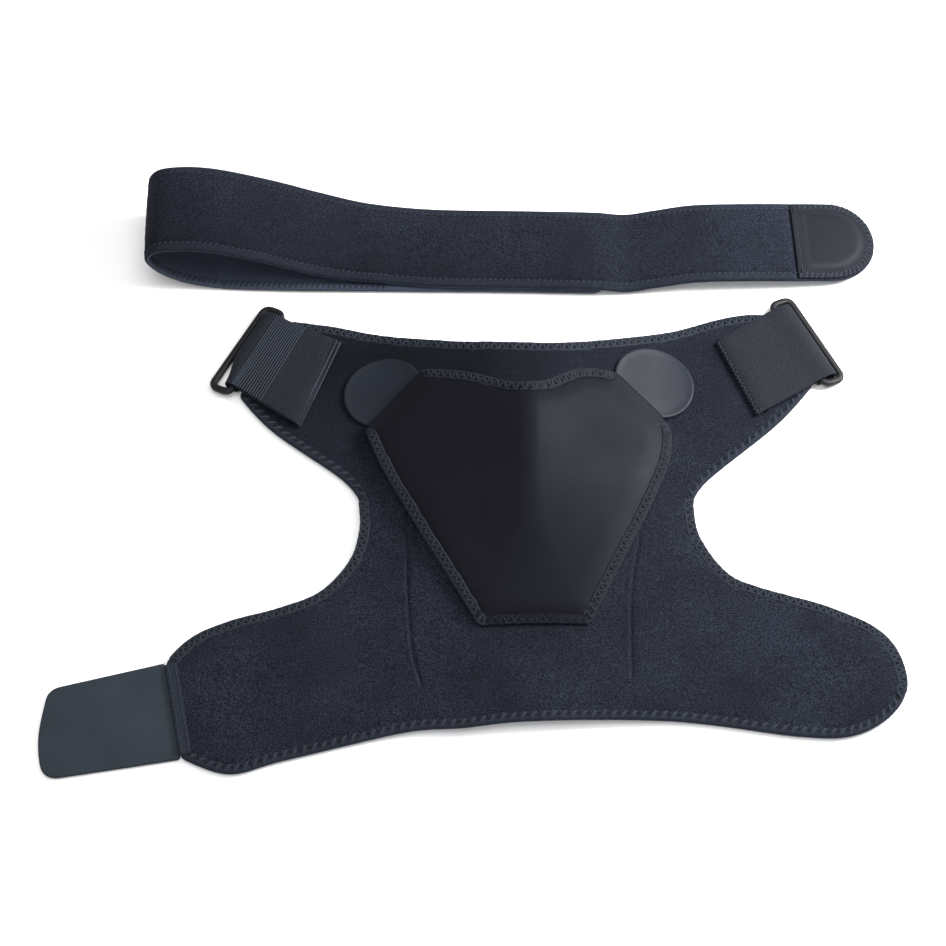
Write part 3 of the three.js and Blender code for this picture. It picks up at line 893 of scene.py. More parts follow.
class Finish(NodeBuilder):
    """A surface material: a base shader, with noise, ramps and bumps on the piece's own coordinates."""

    def __init__(self, name, **constants):
        self.material = bpy.data.materials.new(name)
        self.material.use_nodes = True
        super().__init__(self.material.node_tree)
        self.shader = next(n for n in self.tree.nodes if n.type == "BSDF_PRINCIPLED")
        for key, value in constants.items():
            self.shader.inputs[key.replace("_", " ")].default_value = value
        self.where = self.add("ShaderNodeTexCoord")
        self.height = None

    def noise(self, scale, detail=2.0, roughness=0.5, source="Object"):
        """A noise value of so many features to the metre."""
        node = self.add(
            "ShaderNodeTexNoise",
            {"Vector": self.where.outputs[source], "Scale": scale, "Detail": detail, "Roughness": roughness},
        )
        return node.outputs["Fac"]

    def dots(self, scale):
        """Distance from the middle of scattered dots, so many to the metre."""
        node = self.add("ShaderNodeTexVoronoi", {"Vector": self.where.outputs["Object"], "Scale": scale})
        return node.outputs["Distance"]

    def lines(self, scale, degrees, wobble):
        """Parallel lines on the piece's own flat coordinates."""
        turned = self.add(
            "ShaderNodeMapping",
            {"Vector": self.where.outputs["UV"], "Rotation": (0, 0, math.radians(degrees))},
        )
        node = self.add(
            "ShaderNodeTexWave",
            {"Vector": turned.outputs[0], "Scale": scale, "Distortion": wobble, "Detail": 1.0,
             "Detail Scale": 2.0},
        )
        return node.outputs["Fac"]

    def mark(self, name):
        """A value that the sheet's points carry, such as the distance from its edge."""
        return self.add("ShaderNodeAttribute", attribute_name=name).outputs["Fac"]

    def near(self, value, centre, reach):
        """1 where a value is at a centre, falling to 0 within a reach of it."""
        away = self.add("ShaderNodeMath", {0: value, 1: centre}, operation="SUBTRACT")
        size = self.add("ShaderNodeMath", {0: away.outputs[0]}, operation="ABSOLUTE")
        return self.band(size.outputs[0], reach, 0.0)

    def part(self, axis):
        """One of the object's own coordinates."""
        return self.add("ShaderNodeSeparateXYZ", {0: self.where.outputs["Object"]}).outputs[axis]

    def band(self, value, low, high):
        """A value stretched from low..high to 0..1."""
        node = self.add("ShaderNodeMapRange", {"Value": value, "From Min": low, "From Max": high})
        return node.outputs[0]

    def mix(self, share, first, second):
        """A blend of two colours."""
        def colour(value):
            return value if isinstance(value, bpy.types.NodeSocket) else (*value, 1)
        node = self.add(
            "ShaderNodeMix", {0: share, 6: colour(first), 7: colour(second)}, data_type="RGBA",
        )
        return node.outputs[2]

    def clouded(self, cloud, colour, factor):
        """A colour with soft clouds of a darker or lighter one."""
        return self.mix(self.band(cloud, 0.3, 0.75), colour, shade(colour, factor))

    def bump(self, value, distance, strength):
        """Adds a bump on top of those before it."""
        links = {"Height": value, "Distance": distance, "Strength": strength}
        if self.height is not None:
            links["Normal"] = self.height
        self.height = self.add("ShaderNodeBump", links).outputs[0]

    def done(self, colour, roughness=None):
        """Links the colour, the roughness and the bumps to the shader."""
        self.tree.links.new(colour, self.shader.inputs["Base Color"])
        if roughness is not None:
            self.tree.links.new(roughness, self.shader.inputs["Roughness"])
        if self.height is not None:
            self.tree.links.new(self.height, self.shader.inputs["Normal"])
        return self.material


def shade(colour, factor):
    """A colour made darker or lighter."""
    return tuple(factor * c for c in colour)


def plush_finish(colours):
    """Short looped pile: light tips over dark gaps, painted shade towards the neckline and the left and in
    the needle holes, thread on its sewn edge.
    """
    finish = Finish(
        "looped plush", Roughness=0.95, Sheen_Weight=0.015, Sheen_Roughness=0.4, Specular_IOR_Level=0.08,
    )
    loops = finish.noise(1300, 3, 0.7)
    fine = finish.noise(2600, 2, 0.6)
    patches = finish.noise(28, 3, 0.55)
    nap = finish.mix(finish.band(loops, 0.42, 0.62), colours.plush_dark, colours.plush_light)
    worn = finish.mix(finish.band(patches, 0.35, 0.75), nap, finish.mix(0.55, nap, colours.plush_dark))
    # Painted shade towards the neckline, more so to the left, where the slopes face away from the lamp;
    # turned is its share
    by_neckline = finish.near(finish.part(1), 0.07, 0.095)
    turned = finish.times(by_neckline, finish.band(finish.part(0), 0.25, -0.05))
    plush_with_painted_shade = finish.mix(turned, worn, colours.plush_dark)
    edged = finish.mix(finish.mark("sewn"), plush_with_painted_shade, colours.thread)
    # Painted shade in the needle holes between the threads
    hole_shaded = finish.mix(finish.times(finish.mark("hole"), 0.9), edged, shade(colours.plush_dark, 0.5))
    finish.bump(loops, 0.0006, 0.8)
    finish.bump(fine, 0.0003, 0.3)
    return finish.done(hole_shaded)


def lining_finish(colours):
    """Smooth knitted lining of the plush cloth's other side, made lighter still as painted light inside the
    strap's fold.
    """
    finish = Finish("lining", Roughness=0.8, Specular_IOR_Level=0.15)
    knit = finish.noise(1500, 2, 0.6)
    cloud = finish.noise(40, 3, 0.5)
    finish.bump(knit, 0.0003, 0.35)
    return finish.done(finish.clouded(cloud, colours.lining, 0.75))


def flap_finish(colours):
    """Smooth knitted cloth with a faint grain, a soft shine and painted shade in its needle holes."""
    finish = Finish("flap cloth", Specular_IOR_Level=0.05, Specular_Tint=(0.75, 0.82, 1.0, 1.0))
    knit = finish.noise(1800, 2, 0.6)
    cloud = finish.noise(30, 3, 0.5)
    plain = finish.clouded(cloud, colours.flap_cloth, 0.75)
    edged = finish.mix(finish.mark("sewn"), plain, colours.thread)
    # Painted shade in the needle holes between the threads
    hole_shaded = finish.mix(finish.times(finish.mark("hole"), 0.95), edged, shade(colours.flap_cloth, 0.3))
    finish.bump(knit, 0.0002, 0.25)
    return finish.done(hole_shaded, finish.band(cloud, -1.2, 2.6))


def smooth_hook(name, colour):
    """Smooth backed hook cloth with fine dots."""
    finish = Finish(name, Specular_IOR_Level=0.1)
    dots = finish.dots(1100)
    cloud = finish.noise(40, 3, 0.5)
    finish.bump(dots, 0.0002, 0.15)
    return finish.done(finish.clouded(cloud, colour, 0.8), finish.band(cloud, -1.2, 2.2))


def patch_finish(colours):
    """Hook cloth with a smooth middle and a rough border."""
    finish = Finish("patch cloth", Specular_IOR_Level=0.1)
    loops = finish.noise(1300, 3, 0.7)
    inner = finish.band(finish.mark("edge"), 0.0052, 0.0085)
    fuzz = finish.band(loops, 0.4, 0.66)
    rough = finish.mix(fuzz, shade(colours.hook_cloth, 0.3), shade(colours.hook_cloth, 0.95))
    fuzz_height = finish.mix(loops, (0, 0, 0), (1, 1, 1))
    finish.bump(finish.mix(inner, fuzz_height, (0.5, 0.5, 0.5)), 0.0006, 0.4)
    colour = finish.mix(inner, rough, shade(colours.hook_cloth, 0.52))
    return finish.done(colour, finish.band(inner, 2.2, -0.9))


def weave(name, colour, low):
    """Woven ribbon: two crossing sets of fine twill lines on the ribbon's own coordinates."""
    finish = Finish(name, Roughness=0.75, Specular_IOR_Level=0.1)
    twill = finish.lines(285, 35, 1.0)
    cross = finish.lines(240, -35, 1.0)
    fibre = finish.noise(1900, 2, 0.6)
    over = finish.times(twill, cross)
    plain = finish.mix(finish.band(over, 0.02, 0.4), shade(colour, low), colour)
    woven = finish.mix(finish.times(finish.band(fibre, 0.4, 0.6), 0.6), plain, shade(colour, 1.3))
    finish.bump(over, 0.0003, 0.5)
    finish.bump(fibre, 0.0002, 0.3)
    return finish.done(woven)


def twist(name, colour):
    """Soft twisted thread."""
    finish = Finish(name, Roughness=0.8, Sheen_Weight=0.015, Sheen_Roughness=0.4, Specular_IOR_Level=0.1)
    fibre = finish.noise(2400, 2, 0.6)
    wound = finish.mix(finish.band(fibre, 0.35, 0.65), shade(colour, 0.55), colour)
    finish.bump(fibre, 0.0002, 0.4)
    return finish.done(wound)


def plastic_finish(colours):
    """Moulded plastic with a fine grain and rubbed patches."""
    finish = Finish("ring plastic", Specular_IOR_Level=0.16)
    grain = finish.noise(1500, 2, 0.6)
    rub = finish.noise(180, 4, 0.6)
    colour = finish.mix(finish.band(rub, 0.5, 0.8), colours.ring_plastic, shade(colours.ring_plastic, 1.7))
    finish.bump(grain, 0.0001, 0.15)
    return finish.done(colour, finish.band(rub, -0.9, 1.9))


def floor_finish(colours):
    """Plain pale surface with a very faint unevenness."""
    finish = Finish("floor", Roughness=0.7, Specular_IOR_Level=0.2)
    return finish.done(finish.mix(finish.noise(3, 2, 0.5), colours.floor, shade(colours.floor, 0.985)))


# Makers of the finishes. The webbing between the ribs is darker, painted shade in the gaps between them.
# The chain stitches have darker thread than the seams, the ribs and the left webbing's hem have paler thread.
FINISHES = {
    "looped plush": plush_finish,
    "lining": lining_finish,
    "flap cloth": flap_finish,
    "hook cloth": lambda colours: smooth_hook("hook cloth", colours.hook_cloth),
    "patch cloth": patch_finish,
    "tab cloth": lambda colours: smooth_hook("tab cloth", colours.tab_cloth),
    "woven webbing": lambda colours: weave("woven webbing", colours.webbing, 0.25),
    "webbing shade": lambda colours: weave("webbing shade", shade(colours.webbing, 0.4), 0.5),
    "thread": lambda colours: twist("thread", colours.thread),
    "chain thread": lambda colours: twist("chain thread", shade(colours.thread, 0.8)),
    "flap thread": lambda colours: twist("flap thread", shade(colours.thread, 0.55)),
    "rib thread": lambda colours: twist("rib thread", shade(colours.thread, 1.5)),
    "ring plastic": plastic_finish,
    "floor": floor_finish,
}


def finish_named(name):
    """A finish, made once."""
    return bpy.data.materials.get(name) or FINISHES[name](bpy.context.scene.brace_colours)


def tree_named(name, make):
    """A node tree, made once."""
    return bpy.data.node_groups.get(name) or make()


def edge_stitches(name, tree, spots, rim, steps, thread, finish):
    """Stitches of a kind on an edge's spots, as one piece of the brace. thread is a share of its radius."""
    sizes = bpy.context.scene.brace_sizes
    values = {
        "Pitch": sizes.stitch_pitch * steps / STEPS_PER_STITCH, "Band": sizes.stitch_band, "Rim": rim,
        "Thread": thread * sizes.thread_radius,
    }
    made = spread_pieces(name, tree, values, spots, finish_named(finish), sizes.stitch_seed)
    declare(made, "brace", "webbing")


def overlock(name, spots, rim, steps=STEPS_PER_STITCH, thread=0.75):
    """Overlock stitches on spots."""
    tree = tree_named("overlock stitches", overlock_tree)
    edge_stitches(name, tree, spots, rim, steps, thread, "thread")


def chain(name, spots, rim, finish, thread=1.6):
    """Chain stitches on spots."""
    tree = tree_named("chain stitches", chain_tree)
    edge_stitches(name, tree, spots, rim, STEPS_PER_CHAIN, thread, finish)


def seam(name, spots, thread=0.55):
    """Straight seam stitches on spots, as one piece of the brace."""
    sizes = bpy.context.scene.brace_sizes
    values = {"Pitch": sizes.seam_pitch, "Thread": thread * sizes.thread_radius}
    tree = tree_named("seam stitches", seam_tree)
    made = spread_pieces(name, tree, values, spots, finish_named("thread"), sizes.stitch_seed)
    declare(made, "brace", "webbing")


# Operators, one for each piece or group of like pieces


class BRACE_OT_body_panel(bpy.types.Operator):
    """Build the plush body panel with its darts and overlocked edge"""

    bl_idname = "brace.body_panel"
    bl_label = "Body panel"

    cell = 0.0028
    # Thickness of the pressed edge, as a share of the cloth's, and how much thread shows on it
    rim_share = 0.88
    thread_shows = 0.45
    # The hem is where the edge's inward direction points this much away from the viewer
    hem_turn = 0.4
    tab_clear = 0.0035
    # Rows of points along a dart, in millimetres across it
    dart_rows = (-3.2, -2.2, -1.5, -0.9, -0.45, 0, 0.45, 0.9, 1.5, 2.2, 3.2)
    dart_steps = 24
    # Share of a dart's length over which it fades at each end
    dart_fade = 0.08
    # How far past its ends a dart reaches, its groove's depth, middle and widths to the right and left of it,
    # and its swelling's height, middle and width
    dart_past = 0.002
    dart_groove = (0.0010, 0.0004, 0.0011, 0.0007)
    dart_swelling = (0.0003, -0.0012, 0.0009)
    uneven_height = 0.00022
    uneven_from_edge = 0.012

    def execute(self, context):
        sizes = context.scene.brace_sizes
        loop = panel_loop(sizes.stitch_pitch)
        darts = [self.dart_line(rows) for rows in DARTS]
        cut = Cut(loop, RIM_OFFSETS, self.cell, np.vstack([self.dart_points(line) for line in darts]))
        rim = self.rim_share * sizes.panel_thick
        upper, lower = overlocked(cut, sizes.panel_thick, rim, sizes.stitch_band)
        for line in darts:
            upper = upper + self.dart_height(cut.points, line)
        upper = upper + self.unevenness(cut.points) * smooth(cut.depth / self.uneven_from_edge)
        place = on_panel(crown)
        # Painted shade in the needle holes: between the hem's slanted stitches, and between the chain's
        # threads elsewhere
        slanted = dots(cut, STEPS_PER_STITCH, ((0.55, 0.62 * sizes.stitch_band),), 0.0011)
        hole = np.where(self.hem(loop)[cut.step], slanted, chain_hole_shade(cut, sizes.stitch_band))
        body = sheet_object("body_panel_cloth", cut, upper, lower, place,
                            finish_named("looped plush"), finish_named("lining"),
                            hole=hole, sewn=sewn_tint(cut, sizes.stitch_band, self.thread_shows))
        declare_sheet(body, "plush", cut, "floor", "body_panel")
        self.stitches(loop, place, rim)
        return {"FINISHED"}

    def stitches(self, loop, place, rim):
        """Overlock along the hem, which faces the viewer, chain on the rest, none at the sewn-on ends."""
        hem = self.hem(loop)
        tab_ends = metres((RIGHT_WING_EDGE[-1], LEFT_BAY_EDGE[0]))
        left_ends = metres((LEFT_SHOULDER_EDGE[-1], NECKLINE[0]))
        right_ends = metres((NECKLINE[-1], RIGHT_SHOULDER_EDGE[0]))
        covered = [on_line(loop, *ends) for ends in (tab_ends, left_ends, right_ends)]
        covered.append(nearest(loop, tab_ends)[1] < self.tab_clear)
        open_edge = ~np.any(covered, axis=0)
        steps = np.arange(len(loop))
        slanted = steps[hem & open_edge & (steps % STEPS_PER_STITCH == 0)]
        beside_hem = hem | np.roll(hem, 3) | np.roll(hem, -3)
        chained = steps[~beside_hem & open_edge & (steps % STEPS_PER_CHAIN == 0)]
        overlock("body_panel_overlock", edge_spots(loop, place, slanted), rim)
        chain("body_panel_chain", edge_spots(loop, place, chained), rim, "chain thread")

    def hem(self, loop):
        """True on the steps of the loop that face the viewer."""
        return loop_inward(loop)[:, 1] > self.hem_turn

    def dart_line(self, rows):
        """A dart's line in small steps, and the unit vectors across it."""
        line = spline(metres(rows), self.dart_steps)
        return line, quarter_turn(unit(np.gradient(line, axis=0)))

    def dart_points(self, dart):
        """Rows of points along a dart, close together across it."""
        line, across = dart
        return np.vstack([line + across * offset for offset in metres(self.dart_rows)])

    def dart_height(self, points, dart):
        """A pressed fold: a narrow swelling on its left and a broad groove on its right."""
        line, across = dart
        near, _ = nearest(points, line)
        away = points - line[near]
        q = (away * across[near]).sum(axis=1)
        beyond = np.linalg.norm(away - q[:, None] * across[near], axis=1)
        share = near / (len(line) - 1)
        ends = smooth(share / self.dart_fade) * smooth((1 - share) / self.dart_fade)
        depth, middle, right, left = self.dart_groove
        groove = -depth * hump(q, middle, np.where(q > middle, right, left))
        height, middle, width = self.dart_swelling
        swelling = height * hump(q, middle, width)
        return ends * smooth(1 - beyond / self.dart_past) * (groove + swelling)

    def unevenness(self, points):
        """Slow waves of cloth that has been worn and laid down."""
        x, y = points.T
        return self.uneven_height * np.sin(41 * x + 17 * y + 0.6) * np.sin(23 * x - 47 * y + 1.9)


class BRACE_OT_hook_tab(bpy.types.Operator):
    """Build the smooth closing tab and the seam that holds it"""

    bl_idname = "brace.hook_tab"
    bl_label = "Closing tab"

    cell = 0.003
    edge_round = 0.0008
    seam_gap = 0.0003
    seam_corner = 0.001
    # The seam band's reach inwards and outwards of the seam, its thickness, and how far it is sunk in
    band_width = 0.0056
    band_past = 0.0006
    band_thick = 0.0006
    band_round = 0.00028
    band_cell = 0.0016
    band_sunk = 0.0002
    # Share of the seam's length that the band leaves free at each end
    band_trim = 0.03
    # Rows of stitches: how far inwards of the seam the outer one lies, and of the band's inner edge the other
    outer_row = 0.0007
    inner_row = 0.0012

    def execute(self, context):
        sizes = context.scene.brace_sizes
        low, high = metres((RIGHT_WING_EDGE[-1], LEFT_BAY_EDGE[0]))
        along = (high - low) / np.linalg.norm(high - low)
        away = np.array((-along[1], along[0]))
        corners = [(*(low + away * self.seam_gap), self.seam_corner)]
        corners += [*metres(TAB_END)]
        corners += [(*(high + away * self.seam_gap), self.seam_corner)]
        loop = stitched_loop(rounded_polygon(corners), sizes.stitch_pitch, 2)
        cut = Cut(loop, HARD_RIM_OFFSETS, self.cell)
        upper, lower = hard_edged(cut, sizes.tab_thick, self.edge_round)
        place = on_panel(lambda points: np.zeros(len(points)))
        tab = sheet_object("hook_tab_cloth", cut, upper, lower, place, finish_named("tab cloth"))
        declare_sheet(tab, "hook_cloth", cut, "floor", "hook_tab")
        self.seam_band(sizes, low, high, away)
        return {"FINISHED"}

    def seam_band(self, sizes, low, high, away):
        """The flat strip over the wing's end, with a seam along each side."""
        base = BRACE_OT_body_panel.rim_share * sizes.panel_thick - self.band_sunk
        trim = (high - low) * self.band_trim
        start, end = low + trim, high - trim
        inner, outer = -away * self.band_width, away * self.band_past
        corners = [(*p, self.seam_corner) for p in (start + outer, end + outer, end + inner, start + inner)]
        loop = stitched_loop(rounded_polygon(corners), sizes.stitch_pitch, 1)
        cut = Cut(loop, HARD_RIM_OFFSETS[:4], self.band_cell)
        upper, lower = hard_edged(cut, self.band_thick, self.band_round)
        place = on_panel(lambda points: np.full(len(points), base))
        band = sheet_object("tab_seam_band", cut, upper, lower, place, finish_named("looped plush"),
                            sewn=sewn_tint(cut, self.band_width, BRACE_OT_body_panel.thread_shows))
        declare_sheet(band, "smooth_cloth", cut, "body_panel_cloth")
        rows = [
            line_spots(start + away * d, end + away * d, sizes.seam_pitch, place, self.band_thick)
            for d in (-self.outer_row, -self.band_width + self.inner_row)
        ]
        seam("tab_seam_stitches", joined_spots(*rows))


class BRACE_OT_pocket_flap(bpy.types.Operator):
    """Build the smooth shield-shaped flap with its ridge and stitched edge"""

    bl_idname = "brace.pocket_flap"
    bl_label = "Pocket flap"

    cell = 0.0026
    rim_share = 0.8
    thread_shows = 0.3
    groove = 0.0005
    scallop = 0.0002
    # The sewn bottom: how far up it is pressed, and what share the cloth, its edge and its stitches lose
    sewn_reach = 0.012
    sewn_cloth = 0.45
    sewn_edge = 0.55
    # How far from an edge without stitches the next stitches are lower, and by what share
    last_reach = 0.009
    last_lower = 0.3
    # The bottom seam's height as a share of the edge's, and its thread's share
    seam_rim = 0.45
    seam_thread = 1.3

    def execute(self, context):
        sizes = context.scene.brace_sizes
        corners = metres(FLAP_CORNERS)
        loop = stitched_loop(rounded_polygon(corners), sizes.stitch_pitch, 3)
        cut = Cut(loop, RIM_OFFSETS, self.cell)
        sewn = self.sewn_down(cut.points)
        full = sizes.flap_thick * (1 - self.sewn_cloth * sewn)
        rim = self.rim_share * sizes.flap_thick
        thin = 1 - self.sewn_edge * sewn
        plain = np.any([on_line(loop, corners[a][:2], corners[b][:2]) for a, b in FLAP_PLAIN_EDGES], axis=0)
        stitched = 1.0 - plain[cut.step]
        upper, lower = overlocked(
            cut, full, rim * thin, sizes.stitch_band, self.groove * stitched, self.scallop * stitched,
        )
        place = on_panel(flap_base(sizes.panel_thick))
        tint = sewn_tint(cut, sizes.stitch_band, self.thread_shows)
        # Painted shade in the needle holes between the chain's threads
        flap = sheet_object("pocket_flap_cloth", cut, upper, lower, place,
                            finish_named("flap cloth"), finish_named("lining"),
                            sewn=stitched * tint * (1 - sewn),
                            hole=stitched * chain_hole_shade(cut, sizes.stitch_band))
        declare_sheet(flap, "smooth_cloth", cut, "body_panel_cloth", "pocket_flap")
        picked = np.arange(0, len(loop), STEPS_PER_CHAIN)
        picked = picked[~plain[picked]]
        bottom = on_line(loop[picked], corners[0][:2], corners[-1][:2])
        free = picked[~bottom]
        spots = edge_spots(loop, place, free)
        to_end = nearest(loop[free], loop[plain])[1]
        spots["stretch"][:, 2] -= self.last_lower * smooth(1 - to_end / self.last_reach)
        spots["stretch"][:, 2] -= self.sewn_edge * self.sewn_down(loop[free])
        chain("pocket_flap_chain", spots, rim, "flap thread")
        spots = edge_spots(loop, place, picked[bottom])
        chain("pocket_flap_seam", spots, self.seam_rim * rim, "looped plush", self.seam_thread)
        return {"FINISHED"}

    def sewn_down(self, points):
        """1 at the sewn bottom edge, falling to 0 above it."""
        bottom = FLAP_CORNERS[0][1] * MM
        return smooth((bottom + self.sewn_reach - points[:, 1]) / self.sewn_reach)


class BRACE_OT_ears(bpy.types.Operator):
    """Build the two round hook pieces that look out from under the flap"""

    bl_idname = "brace.ears"
    bl_label = "Ears"

    cell = 0.0024
    edge_round = 0.0006
    # The raised line inside the edge: height, distance from the edge and width
    welt = (0.0002, 0.0012, 0.0007)

    def execute(self, context):
        sizes = context.scene.brace_sizes
        place = on_panel(lambda points: crown(points) + sizes.panel_thick + EAR_GAP)
        for name, x, y, radius in EARS:
            rim = arc((x * MM, y * MM), radius * MM, 0, 360, 90)[:-1]
            cut = Cut(stitched_loop(rim, sizes.stitch_pitch, 0), HARD_RIM_OFFSETS, self.cell)
            upper, lower = hard_edged(cut, sizes.ear_thick, self.edge_round)
            height, inside, width = self.welt
            upper = upper + height * hump(cut.depth, inside, width)
            ear = sheet_object(name + "_cloth", cut, upper, lower, place, finish_named("hook cloth"))
            declare_sheet(ear, "hook_cloth", cut, "body_panel_cloth", name)
        return {"FINISHED"}


class WingEnd:
    """The end of an upper wing: X out of it, Y along its ring, from the ring's hinge in the frame."""

    def __init__(self, side):
        joint = next(j for j in frame["joints"] if j["child"] == f"ring_{side}")
        self.hinge = np.array(joint["pos_m"], float)
        self.y = -np.array(joint["axis"], float)
        self.z = np.array((0.0, 0.0, 1.0))
        self.x = np.cross(self.y, self.z)
        self.axis_height = self.hinge[2]
        self.origin = self.hinge - self.x * RING_REACH - self.z * self.axis_height

    def place(self, local):
        """Points of the wing end's own frame in the shared frame."""
        return self.origin + local[:, :1] * self.x + local[:, 1:2] * self.y + local[:, 2:] * self.z


class BRACE_OT_webbing(bpy.types.Operator):
    """Build the two folded webbings that hold the rings, with their ribs and hems"""

    bl_idname = "brace.webbing"
    bl_label = "Webbing"

    step = 0.0006
    steps_per_span = 30
    # The hem's width, its groove's depth, and the width of the groove and of the round end
    hem = 0.003
    hem_groove = 0.0003
    hem_soft = 0.0007
    hem_thread = 0.00036
    # How far the loop stands out from the ring's bar at its near edge and elsewhere, in metres
    loop_reach = {"left": (0.0042, 0.0086), "right": (0.0084, 0.0086)}
    near_share = 0.42
    rib_rows = {"left": (0.0245, 0.0425, 0.00137), "right": ()}
    rib_radius = 0.00032
    # The lower layer ends short of the upper one, which comes down over its end
    tuck = 0.006

    def execute(self, context):
        sizes = context.scene.brace_sizes
        for side, values in WEB_ENDS.items():
            end = WingEnd(side)
            shape = self.end_shape(*(value * MM for value in values))
            lines = [self.path(end, reach) for reach in self.loop_reach[side]]
            along = distances(lines[-1][0])
            place = self.on_ribbon(end, shape, along, lines)
            self.ribbon(side, place, along[-1])
            if self.rib_rows[side]:
                rows = np.arange(*self.rib_rows[side])
                self.bars(f"webbing_{side}_ribs", place, rows, self.rib_radius, sizes)
            self.hem_seam(side, place, sizes)
        return {"FINISHED"}

    @staticmethod
    def end_shape(shift, widen, slant, ring_shift):
        """How the webbing spreads from the ring towards its sewn end."""
        def shape(local):
            back = np.clip(-local[:, 0] / WEB_LENGTH, 0, 1)
            across = local[:, 1] / WEB_WIDTH
            x = local[:, 0] - 2 * back * slant * across
            y = across * (WEB_WIDTH + back * widen) + back * shift + (1 - back) * ring_shift
            return np.column_stack([x, y, local[:, 2]])
        return shape

    @classmethod
    def path(cls, end, reach):
        """The ribbon's middle line in X and Z from its sewn upper end, round the ring's bar and back."""
        bar = np.array((RING_REACH, end.axis_height))
        high = WEB_LOW_Z + WEB_LAYER_STEP
        near = WEB_LOOP_RADIUS / math.sqrt(2)
        knots = np.array([
            (-WEB_LENGTH, WEB_LOW_Z + 0.0002), (cls.tuck - WEB_LENGTH, high), (-0.02, high), (-0.006, high),
            (-0.0012, high + 0.0001),
            (bar[0] - 0.002, high + 0.0005),
            (bar[0] + 0.4 * reach, bar[1] + 0.0032), (bar[0] + 0.82 * reach, bar[1] + 0.0022),
            (bar[0] + reach, bar[1] + 0.0002), (bar[0] + 0.78 * reach, bar[1] - 0.0022),
            (bar[0] + 0.0004, bar[1] - WEB_LOOP_RADIUS), (bar[0] - near, bar[1] - near),
            (0.0004, WEB_LOW_Z - 0.0004), (-0.004, WEB_LOW_Z), (-0.02, WEB_LOW_Z),
            (cls.tuck + 0.001 - WEB_LENGTH, WEB_LOW_Z),
        ])
        line = spline(knots, cls.steps_per_span)
        return line, quarter_turn(unit(np.gradient(line, axis=0)))

    def on_ribbon(self, end, shape, along, lines):
        """A place function for distances from the sewn upper end and across, at heights over the middle."""
        to_viewer = -np.sign(end.y[1])

        def place(points, height):
            distance, across = points.T
            share = smooth((0.5 - to_viewer * across / WEB_WIDTH) / self.near_share)[:, None]
            spot, normal = (
                between(distance, along, near) * (1 - share) + between(distance, along, far) * share
                for near, far in zip(*lines)
            )
            spot = spot + normal * height[:, None]
            return end.place(shape(np.column_stack([spot[:, 0], across, spot[:, 1]])))
        return place

    def ribbon(self, side, place, length):
        """The woven ribbon itself, with round edges and a folded hem at its upper end."""
        half, thin = WEB_WIDTH / 2, WEB_THICK / 2
        turn = np.radians(np.linspace(-90, 90, 7))
        right = np.column_stack([half - thin + thin * np.cos(turn), thin * np.sin(turn)])
        flat = np.linspace(half - thin, thin - half, 14)[1:-1]
        section = np.vstack([
            right,
            np.column_stack([flat, np.full(len(flat), thin)]),
            right[::-1] * (-1, 1),
            np.column_stack([flat[::-1], np.full(len(flat), -thin)]),
        ])
        along = np.linspace(0, length, round(length / self.step))
        hem = -self.hem_groove * hump(along, self.hem / 2, self.hem_soft)
        cap = np.sqrt(np.clip(1 - (1 - np.clip(along / self.hem_soft, 0, 1)) ** 2, 0.02, 1))
        lift = section[None, :, 1] * cap[:, None] + (section[None, :, 1] > 0) * hem[:, None]
        rows, sides = lift.shape
        uv = np.stack(np.broadcast_arrays(along[:, None], section[None, :, 0]), axis=2).reshape(-1, 2)
        ring = np.arange(sides)
        faces = [
            (r * sides + a, r * sides + b, (r + 1) * sides + b, (r + 1) * sides + a)
            for r in range(rows - 1) for a, b in zip(ring, np.roll(ring, -1))
        ]
        faces += [tuple(ring[::-1]), tuple(ring + (rows - 1) * sides)]
        points = place(uv, lift.ravel())
        made = new_object(f"webbing_{side}_ribbon", points, faces, finish_named("woven webbing"), uv)
        # The faces between the ribs take a darker finish, painted shade in the gaps between them
        if self.rib_rows[side]:
            first, last, _ = self.rib_rows[side]
            made.data.materials.append(finish_named("webbing shade"))
            ribbed = np.repeat((along[:-1] > first) & (along[:-1] < last), sides)
            made.data.polygons.foreach_set("material_index", np.append(ribbed, (0, 0)).astype(np.int32))
        declare(made, "brace", "webbing", f"webbing_{side}")

    @staticmethod
    def bars(name, place, rows, radius, sizes):
        """Straight threads across the webbing at distances from its sewn end."""
        level = np.full(len(rows), WEB_THICK / 2 + 0.1 * radius)
        left, middle, right = (place(np.column_stack([rows, np.full(len(rows), y)]), level)
                               for y in (-WEB_WIDTH / 2, 0, WEB_WIDTH / 2))
        above = place(np.column_stack([rows, np.zeros(len(rows))]), level + 2 * PROBE) - middle
        across = right - left
        spots = spots_at((left + right) / 2, np.cross(across, above), above)
        spots["stretch"][:, 1] = np.linalg.norm(across, axis=1) - 0.0008
        made = spread_pieces(name, tree_named("webbing ribs", rib_tree), {"Rib": radius},
                             spots, finish_named("rib thread"), sizes.stitch_seed)
        declare(made, "brace", "webbing")

    def hem_seam(self, side, place, sizes):
        """The hem that sews the webbing's end to the wing: two lines on the left, a zigzag on the right."""
        half = WEB_WIDTH / 2 - 0.001
        top = WEB_THICK / 2 + 0.0003
        if side == "left":
            self.bars("webbing_left_hem", place, np.array((0.0006, self.hem)), self.hem_thread, sizes)
            return
        row = line_spots((0.0014, -half), (0.0014, half), sizes.seam_pitch / 2, place, top)
        tack = line_spots((0.001, -half), (0.0045, -half), sizes.seam_pitch / 4, place, top)
        seam("webbing_right_hem", joined_spots(zigzag(row, 50), zigzag(tack, 60)))


